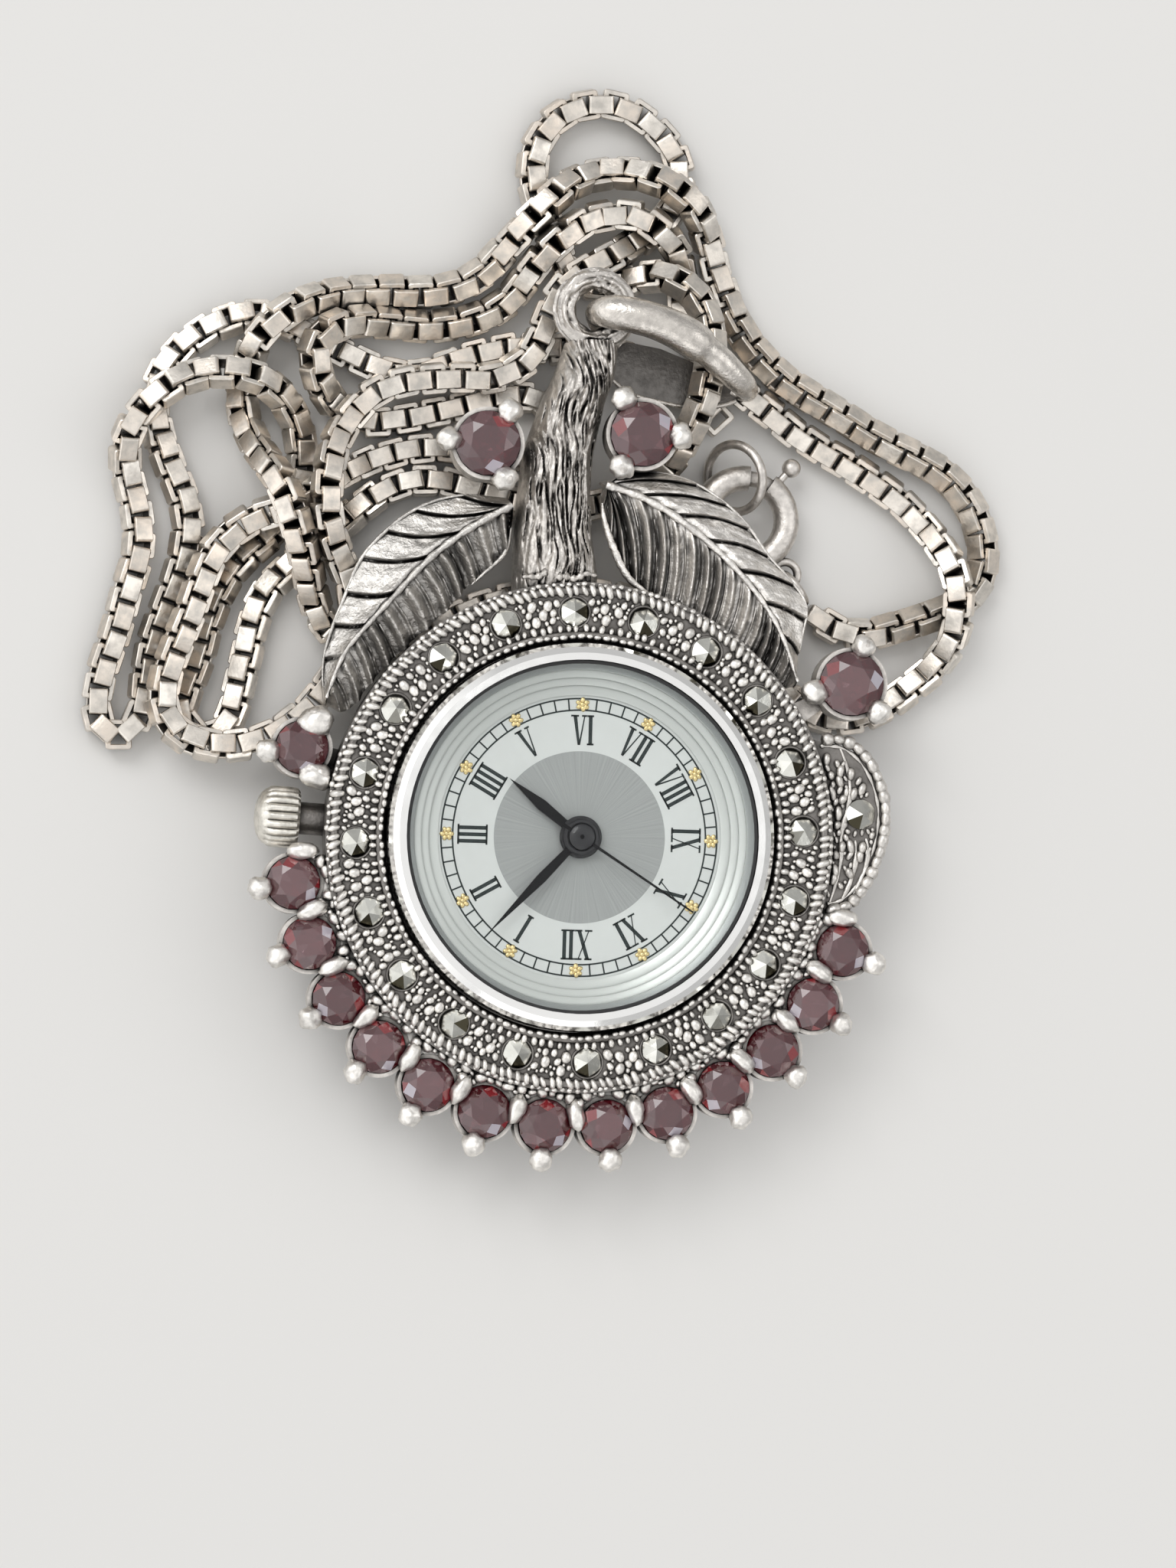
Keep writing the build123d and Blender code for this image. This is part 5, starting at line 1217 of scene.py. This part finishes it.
def minute_track(heap, look):
    """Two circles with a bar at every minute."""
    inner, outer, low, high = look.track_inner, look.track_outer, look.print_low, look.print_high
    half_circle, half_bar = 0.038, 0.036
    for radius in (inner, outer):
        near, far = radius - half_circle, radius + half_circle
        lathe(heap, ((near, low), (far, low), (far, high), (near, high)))
    for minute in range(60):
        angle = look.twelve_angle + 6 * minute
        out, right = Vector(polar(1, angle)), Vector(polar(1, angle - 90))
        corners = []
        for across, up in ((-half_bar, inner), (half_bar, inner), (half_bar, outer),
                           (-half_bar, outer)):
            spot = out * up + right * across
            corners.append((spot.x, spot.y))
        plate(heap, corners, low, high)


def rosettes(heap, shapes, look):
    """A small gilt flower at every hour on the minute track."""
    dice = Random(2)
    for hour in range(12):
        angle = look.twelve_angle + 30 * hour
        x, y = polar((look.track_inner + look.track_outer) / 2, angle)
        for k in range(6):
            px, py = polar(PETAL_CIRCLE, angle + 60 * k + dice.uniform(-8, 8))
            grain_drop(heap, dice.choice(shapes), (x + px, y + py, look.print_low + 0.02), PETAL,
                       angle + 60 * k)
        grain_drop(heap, dice.choice(shapes), (x, y, look.print_low + 0.03), FLOWER_MIDDLE)


def length_setting(name, description, millimetres):
    """A setting for a length, given in millimetres."""
    return FloatProperty(name=name, description=description, default=millimetres * MM,
                         unit="LENGTH", precision=5, min=0.0)


def share_setting(name, description, value):
    """A setting for a plain number."""
    return FloatProperty(name=name, description=description, default=value, precision=4)


def count_setting(name, description, value):
    """A setting for a whole number."""
    return IntProperty(name=name, description=description, default=value, min=1)


def colour_setting(name, description, value):
    """A setting for a colour."""
    return FloatVectorProperty(name=name, description=description, default=value,
                               subtype="COLOR", size=3, min=0.0, max=1.0)


class WatchChain(PropertyGroup):
    """Sizes and silver of the box chain."""
    link_length: length_setting("Link length", "Outer run of one box link along the chain", 1.21)
    link_side: length_setting("Link side", "Outer size of a link across its hole", 1.4)
    link_width: length_setting("Link width", "Width of the strip a link is bent from", 0.85)
    link_gauge: length_setting("Link gauge", "Thickness of the strip", 0.25)
    link_corner: length_setting("Link corner", "Outer radius of a link's bends", 0.16)
    link_bevel: length_setting("Link bevel", "Worn edge of the strip", 0.04)
    link_pitch: length_setting("Link pitch", "Step from one link to the next", 0.69)
    roll_lift: length_setting("Roll lift", "How far a strand rises when it lies on its edges", 0.12)
    chain_diameter: length_setting("Chain thickness", "Thickness of the chain over its links", 1.4)
    chain_roughness: share_setting("Roughness", "Roughness of the chain's silver", 0.34)
    chain_light: colour_setting("Silver", "Rubbed silver of the chain", (0.82, 0.775, 0.71))
    oxide: colour_setting("Oxide", "Black oxide in the recesses", (0.022, 0.019, 0.018))


class WatchLook(PropertyGroup):
    """Sizes and finishes of the ornament, stones and dial."""
    ring_top: length_setting("Ring top", "Height of the stone-set ring's face", 5.25)
    first_stone: share_setting("First marcasite", "Its direction in degrees", 91.6)
    marcasite_radius: length_setting("Marcasite radius", "Radius of a marcasite", 0.69)
    marcasite_girdle: length_setting("Marcasite rim", "Thickness of a marcasite's rim", 0.12)
    marcasite_crown: length_setting("Marcasite crown", "Height of its six facets", 0.42)
    marcasite_pavilion: length_setting("Marcasite depth", "Depth of its back", 0.62)
    small_stone: length_setting("Small garnet", "Radius of a small garnet", 1.22)
    large_stone: length_setting("Large garnet", "Radius of a large garnet", 1.5)
    stone_low: length_setting("Garnet seat", "Height where a garnet's girdle starts", 4.7)
    stone_girdle: length_setting("Garnet girdle", "Thickness of a garnet's girdle", 0.14)
    stone_crown: length_setting("Garnet crown", "Height of a garnet over its girdle", 0.44)
    stone_pavilion: length_setting("Garnet depth", "Depth of a garnet under its girdle", 1.0)
    cap_height: length_setting("Prong cap", "Height of the middle of the beads on the prongs", 4.95)
    stone_table: share_setting("Garnet table", "Share of the radius that the flat top takes", 0.55)
    leaf_low: length_setting("Leaf underside", "Height of the leaves' undersides", 3.05)
    leaf_mid_rise: length_setting("Leaf middle", "Thickness of a leaf at its midrib", 1.25)
    leaf_edge_rise: length_setting("Leaf edge", "Thickness of a leaf at its edges", 0.5)
    leaf_steps: count_setting("Leaf lines", "Lines along each half of a leaf", 320)
    leaf_across: count_setting("Leaf points", "Points across each half of a leaf", 26)
    bark_low: length_setting("Bark underside", "Height of the stem's underside", 3.05)
    bark_depth: length_setting("Bark depth", "Depth of the bark's grooves", 0.36)
    bark_steps: count_setting("Bark lines", "Lines up the stem", 190)
    bark_across: count_setting("Bark points", "Points across the stem", 110)
    eye_radius: length_setting("Eye radius", "Middle radius of the loop on the stem", 1.43)
    eye_wire: length_setting("Eye wire", "Radius of the loop's wire", 0.54)
    eye_height: length_setting("Eye height", "Height of the loop's middle", 4.0)
    lobe_top: length_setting("Lobe top", "Height of the side lobe's face", 4.75)
    crown_start: length_setting("Crown start", "The crown's foot from the dial's centre", 12.9)
    crown_height: length_setting("Crown height", "Height of the crown's own line", 2.95)
    print_low: length_setting("Print foot", "Height of the dial's face", 4.45)
    print_high: length_setting("Print top", "Height of the ink's surface", 4.458)
    twelve_angle: share_setting("Twelve", "Direction of the dial's twelve in degrees", 268.5)
    track_inner: length_setting("Track inside", "Radius of the minute track's inner circle", 5.8)
    track_outer: length_setting("Track outside", "Radius of the minute track's outer circle", 6.33)
    numeral_foot: length_setting("Numeral foot", "The numerals' feet from the centre", 4.2)
    numeral_height: length_setting("Numeral height", "Height of a numeral", 1.38)
    thick_stroke: length_setting("Thick stroke", "Width of a numeral's thick strokes", 0.17)
    thin_stroke: length_setting("Thin stroke", "Width of a numeral's thin strokes", 0.055)
    centre_disc: length_setting("Centre disc", "Radius of the dial's grey middle", 3.92)
    garnet_red: colour_setting("Garnet", "Red of the garnets", (0.1, 0.005, 0.010))
    roughness: share_setting("Roughness", "Roughness of the ornament's silver", 0.36)
    light: colour_setting("Silver", "Rubbed silver of the ornament", (0.76, 0.72, 0.675))
    bright: colour_setting("Bright silver", "Silver of the grains and prongs", (0.92, 0.89, 0.845))
    # This dark silver also paints shade on the crown's tube
    dark: colour_setting("Dark silver", "Oxidised silver under the grains", (0.25, 0.235, 0.22))
    oxide: colour_setting("Oxide", "Black oxide in the recesses", (0.022, 0.02, 0.019))


def in_mm(group):
    """A settings group with its lengths in millimetres."""
    values = {}
    for setting in group.bl_rna.properties:
        if setting.identifier not in ("rna_type", "name"):
            value = getattr(group, setting.identifier)
            values[setting.identifier] = value / MM if setting.unit == "LENGTH" else value
    return SimpleNamespace(**values)


class WATCH_OT_chain(Operator):
    bl_idname = "watch.chain"
    bl_label = "Chain"

    def execute(self, context):
        look = context.scene.watch_chain
        made, places, length = lay_chain(look, chain_finish(look))
        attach(made, "watch")
        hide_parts("chain")
        return {"FINISHED"}


class WATCH_OT_stones(Operator):
    """Cut the garnets and marcasites with their facets"""
    bl_idname = "watch.stones"
    bl_label = "Stones"

    def execute(self, context):
        look = in_mm(context.scene.watch_look)
        garnet = gemstone("garnet", look.garnet_red)
        dice = Random(3)
        small, large = Heap(), Heap()
        for place in small_stone_places():
            brilliant(small, place, look.stone_low, look.small_stone, look, dice, 6)
        brilliant(small, LEFT_SHOULDER_STONE, look.stone_low, look.small_stone, look, dice, 4)
        for place, lift in LARGE_STONES:
            brilliant(large, place, look.stone_low + lift, look.large_stone, look, dice, 5)
        small.piece("small_garnet_facets", "watch", "garnet", garnet, 3, ("small_garnets",))
        large.piece("large_garnet_facets", "watch", "garnet", garnet, 3, ("large_garnets",))
        # Its facets' tones include a painted glint and a painted dark reflection
        grey = faceted_grey("marcasite", (0.05, 0.045, 0.03), (0.93, 0.93, 0.87))
        fire = Heap()
        for place in stone_places(look) + [LOBE_STONE]:
            top = look.ring_top if place != LOBE_STONE else look.lobe_top + 0.1
            rose_cut(fire, place, top, look, dice.uniform(0, 60), dice.uniform(-7, 7), dice)
        fire.piece("marcasite_facets", "watch", "marcasite", grey, 3, ("marcasites",))
        return {"FINISHED"}


class WATCH_OT_ring(Operator):
    """Lay the grains, drops and stone rims on the ring and the side lobe"""
    bl_idname = "watch.ring"
    bl_label = "Ring grains"

    def execute(self, context):
        look = in_mm(context.scene.watch_look)
        group = context.scene.watch_look
        shapes = nuggets()
        grains, cups, lobe, caps = Heap(), Heap(), Heap(), Heap()
        prong_caps(caps, nuggets(3, 0.22), look)
        ring_grains(grains, shapes, look)
        gallery_grains(grains, shapes, look)
        stone_cups(cups, look)
        lobe_detail(lobe, shapes, look)
        silver = antique_silver("grain silver", group)
        caps.piece("prong_caps", "watch", "silver", silver, 60)
        grains.piece("ring_grains", "watch", "silver", silver, 60)
        cups.piece("stone_rims", "watch", "silver", antique_silver("rim silver", group), 60)
        lobe.piece("lobe_grains", "watch", "silver", antique_silver("lobe silver", group), 60)
        return {"FINISHED"}


class WATCH_OT_leaves(Operator):
    """Shape the two leaves with their veins, lobes and combs"""
    bl_idname = "watch.leaves"
    bl_label = "Leaves"

    def execute(self, context):
        look = in_mm(context.scene.watch_look)
        group = context.scene.watch_look
        leaf("leaf_right", RIGHT_MIDRIB, (RIGHT_OUTER, RIGHT_INNER), look, RIGHT_HALVES,
             antique_silver("right leaf silver", group),
             ((RIGHT_INNER, 0.03, 0.42, 0.15, 0.9), (RIGHT_OUTER, 0.12, 0.9, 0.03, 0.7)))
        leaf("leaf_left", LEFT_MIDRIB, (LEFT_OUTER, LEFT_INNER), look, LEFT_HALVES,
             antique_silver("left leaf silver", group),
             ((LEFT_OUTER, 0.1, 0.95, 0.05, 0.72), (LEFT_INNER, 0.03, 0.3, 0.06, 0.8)))
        return {"FINISHED"}


class WATCH_OT_bark(Operator):
    """Shape the stem's bark and its eye"""
    bl_idname = "watch.bark"
    bl_label = "Bark stem"

    def execute(self, context):
        look = in_mm(context.scene.watch_look)
        silver = antique_silver("bark silver", context.scene.watch_look)
        stem = Heap()
        bark(stem, look)
        eye_loop(stem, look)
        stem.piece("bark", "watch", "silver", silver, 60, ("bark_stem",))
        return {"FINISHED"}


class WATCH_OT_bail(Operator):
    """Shape the bail's thick arm and its dark band"""
    bl_idname = "watch.bail"
    bl_label = "Bail"

    def execute(self, context):
        look = context.scene.watch_look
        arm, band = Heap(), Heap()
        bail_arm(arm)
        plate(band, BAIL_BAND, BAND_UNDERSIDE, BAND_TOP)
        line = smooth_line([(x, y, BAND_TOP - 0.06) for x, y in BAIL_BAND[:8]], 2)
        wire(arm, line, [0.11] * len(line), 8)
        arm.piece("bail_arm", "bail_loop", "silver", antique_silver("bail silver", look),
                  50, ("bail",))
        band.piece("bail_band", "bail_loop", "silver", antique_silver("band silver", look), 50)
        return {"FINISHED"}


class WATCH_OT_crown(Operator):
    """Turn the crown with its flutes and domed face"""
    bl_idname = "watch.crown"
    bl_label = "Crown"

    def execute(self, context):
        look = in_mm(context.scene.watch_look)
        barrel = Heap()
        crown_barrel(barrel, look)
        warm = antique_silver("crown silver", context.scene.watch_look)
        barrel.piece("crown_barrel", "crown_stem", "polished_case", warm, 25, ("crown",))
        return {"FINISHED"}


class WATCH_OT_dial(Operator):
    """Print the dial: numerals, minute track, gilt flowers and grey middle"""
    bl_idname = "watch.dial"
    bl_label = "Dial printing"

    def execute(self, context):
        look = in_mm(context.scene.watch_look)
        ink = satin("dial ink", (0.022, 0.03, 0.03), 0.0, 0.5, depth=0.001, Specular_IOR_Level=0.2)
        gilt = satin("gilt", (0.87, 0.70, 0.36), 1.0, 0.3, mottle=0.35, per_mm=6.0)
        middle = sunray("dial middle", (0.335, 0.348, 0.342), 0.35, 0.4)
        print_heap, disc, flowers = Heap(), Heap(), Heap()
        for n, text in enumerate(ROMAN):
            numeral(print_heap, text, look.twelve_angle - 30 * n, look)
        minute_track(print_heap, look)
        plate(disc, [polar(look.centre_disc, k * 3) for k in range(120)], look.print_low,
              look.print_high - 0.004)
        rosettes(flowers, nuggets(), look)
        flange = Heap()
        lathe(flange, FLANGE_STEPS)
        # Its corners are darkened with painted shade
        bright = stepped_silver("flange silver", (0.53, 0.55, 0.53), (0.25, 0.265, 0.26))
        flange.piece("stepped_flange", "watch", "dial_silver", bright, 25, ("rehaut_ring",))
        print_heap.piece("dial_printing", "watch", "dial_silver", ink, 30)
        disc.piece("dial_middle", "watch", "dial_silver", middle, 30)
        flowers.piece("dial_flowers", "watch", "dial_silver", gilt, 60)
        black = satin("hub black", (0.008, 0.008, 0.01), 0.0, 0.2, Specular_IOR_Level=0.5)
        for name, body, outline in HUB_RINGS:
            ring = Heap()
            lathe(ring, outline, 72)
            ring.piece(name, body, "hand_black", black, 30)
        return {"FINISHED"}


class WATCH_OT_finishes(Operator):
    """Give every CAD piece its finish"""
    bl_idname = "watch.finishes"
    bl_label = "Finishes"

    def execute(self, context):
        look = context.scene.watch_look
        finishes = {
            "silver": antique_silver("antique silver", look),
            "polished_case": polished_steel("polished case", (0.87, 0.865, 0.85), 0.12),
            "crystal": clear_glass("crystal"),
            "dial_silver": satin("dial silver", (0.60, 0.62, 0.605), 0.35, 0.38, mottle=0.03),
            "hand_black": satin("hand black", (0.004, 0.004, 0.005), 0.0, 0.45,
                                Specular_IOR_Level=0.12),
            "garnet": gemstone("garnet rough", look.garnet_red),
            "marcasite": satin("marcasite rough", (0.46, 0.46, 0.41), 1.0, 0.16, mottle=0.25),
            "gasket_rubber": satin("gasket rubber", (0.02, 0.02, 0.021), 0.0, 0.6, depth=0.01),
            "movement_brass": satin("movement brass", (0.76, 0.58, 0.26), 1.0, 0.3),
            "movement_steel": polished_steel("movement steel", (0.6, 0.6, 0.61), 0.24),
            "battery_steel": polished_steel("battery steel", (0.66, 0.65, 0.62), 0.2),
            "holder_plastic": satin("holder plastic", (0.62, 0.62, 0.58), 0.0, 0.5),
            "board_green": satin("board green", (0.02, 0.13, 0.06), 0.0, 0.42, mottle=0.2),
            "chip_black": satin("chip black", (0.014, 0.014, 0.015), 0.0, 0.55),
            "coil_copper": satin("coil copper", (0.72, 0.33, 0.16), 1.0, 0.36, mottle=0.2,
                                 per_mm=6.0),
        }
        # Dark silver: oxide on the ring and side lobe, painted shade on the crown's tube
        dim = antique_silver("dim silver", look)
        for node, piece in frame["nodes"].items():
            kind = SLOT_OF_NODE[node]
            if kind not in finishes:
                raise RuntimeError(f"there is no finish for {node}")
            piece.data.materials.clear()
            piece.data.materials.append(dim if node in OXIDE_AND_SHADE_NODES else finishes[kind])
        return {"FINISHED"}


class WATCH_OT_studio(Operator):
    """Set the floor, lamps, background and camera"""
    bl_idname = "watch.studio"
    bl_label = "Studio"

    def execute(self, context):
        scene = context.scene
        mesh = bpy.data.meshes.new("studio_floor")
        corners = ((-1, -1), (1, -1), (1, 1), (-1, 1))
        mesh.from_pydata([(x * FLOOR_REACH, y * FLOOR_REACH, FLOOR_LEVEL) for x, y in corners], [],
                         [(0, 1, 2, 3)])
        mesh.materials.append(Finish("studio floor", (0.80, 0.79, 0.77), 0.0, 0.9).material)
        floor = bpy.data.objects.new("studio_floor", mesh)
        context.collection.objects.link(floor)
        for name, place, size, power in LAMPS:
            lamp = bpy.data.lights.new(name, "AREA")
            lamp.energy, lamp.size = power, size
            held = bpy.data.objects.new(name, lamp)
            held.location = place
            held.rotation_euler = (-Vector(place)).to_track_quat("-Z", "Y").to_euler()
            context.collection.objects.link(held)
        sky = bpy.data.worlds.new("studio sky")
        scene.world = sky
        sky.use_nodes = True
        bench = Bench(sky.node_tree)
        ray = bench.nodes.new("ShaderNodeLightPath")
        place = bench.nodes.new("ShaderNodeTexCoord")
        split = bench.nodes.new("ShaderNodeSeparateXYZ")
        bench.links.new(place.outputs["Generated"], split.inputs["Vector"])
        across, up = split.outputs["X"], split.outputs["Z"]
        light = bench.grey(bench.spread(up, 0.0, 1.0, 0.25, 0.9))
        tent = bench.spread(up, 0.0, 0.9, 0.36, 0.95)
        window = bench.spread(across, -0.3, -0.8, 0.0, 0.85)
        mirrored = bench.grey(bench.reckoned("ADD", tent, window))
        lit = bench.two_tone(ray.outputs["Is Glossy Ray"], light, mirrored)
        shown = bench.two_tone(ray.outputs["Is Camera Ray"], lit, BACKDROP)
        ground = bench.nodes["Background"]
        bench.links.new(shown, ground.inputs["Color"])
        ground.inputs["Strength"].default_value = 1.0
        view = bpy.data.cameras.new("camera")
        view.sensor_fit, view.sensor_width = "HORIZONTAL", SENSOR_WIDTH
        place, aim = Vector(CAMERA_PLACE), Vector(CAMERA_AIM)
        view.lens = SENSOR_WIDTH * (aim - place).length / VIEW_WIDTH
        view.clip_start = 0.01
        camera = bpy.data.objects.new("camera", view)
        ahead = (aim - place).normalized()
        right = ahead.cross(Vector((0, 1, 0))).normalized()
        up = right.cross(ahead)
        turned = Matrix((right, up, -ahead)).transposed().to_4x4()
        camera.matrix_world = Matrix.Translation(place) @ turned
        context.collection.objects.link(camera)
        scene.camera = camera
        scene.render.resolution_x, scene.render.resolution_y = FRAME_PIXELS
        scene.view_settings.view_transform = "Standard"
        return {"FINISHED"}


class WATCH_PT_panel(Panel):
    """Watch tab with the settings and a button for every group"""
    bl_idname = "WATCH_PT_panel"
    bl_label = "Pendant watch"
    bl_space_type = "VIEW_3D"
    bl_region_type = "UI"
    bl_category = "Watch"

    def draw(self, context):
        for group in (context.scene.watch_chain, context.scene.watch_look):
            for setting in group.bl_rna.properties:
                if setting.identifier not in ("rna_type", "name"):
                    self.layout.prop(group, setting.identifier)
        for operator in OPERATORS:
            self.layout.operator(operator.bl_idname)


OPERATORS = (WATCH_OT_chain, WATCH_OT_stones, WATCH_OT_ring, WATCH_OT_leaves, WATCH_OT_bark,
             WATCH_OT_bail, WATCH_OT_crown, WATCH_OT_dial, WATCH_OT_finishes, WATCH_OT_studio)
CLASSES = (WatchChain, WatchLook) + OPERATORS + (WATCH_PT_panel,)


def register():
    for kind in CLASSES:
        bpy.utils.register_class(kind)
    bpy.types.Scene.watch_chain = PointerProperty(type=WatchChain)
    bpy.types.Scene.watch_look = PointerProperty(type=WatchLook)


def unregister():
    del bpy.types.Scene.watch_look
    del bpy.types.Scene.watch_chain
    for kind in reversed(CLASSES):
        bpy.utils.unregister_class(kind)


def main():
    register()
    bpy.ops.watch.chain()
    bpy.ops.watch.stones()
    bpy.ops.watch.ring()
    bpy.ops.watch.leaves()
    bpy.ops.watch.bark()
    bpy.ops.watch.bail()
    bpy.ops.watch.crown()
    bpy.ops.watch.dial()
    bpy.ops.watch.finishes()
    bpy.ops.watch.studio()


if __name__ == "__main__":
    main()
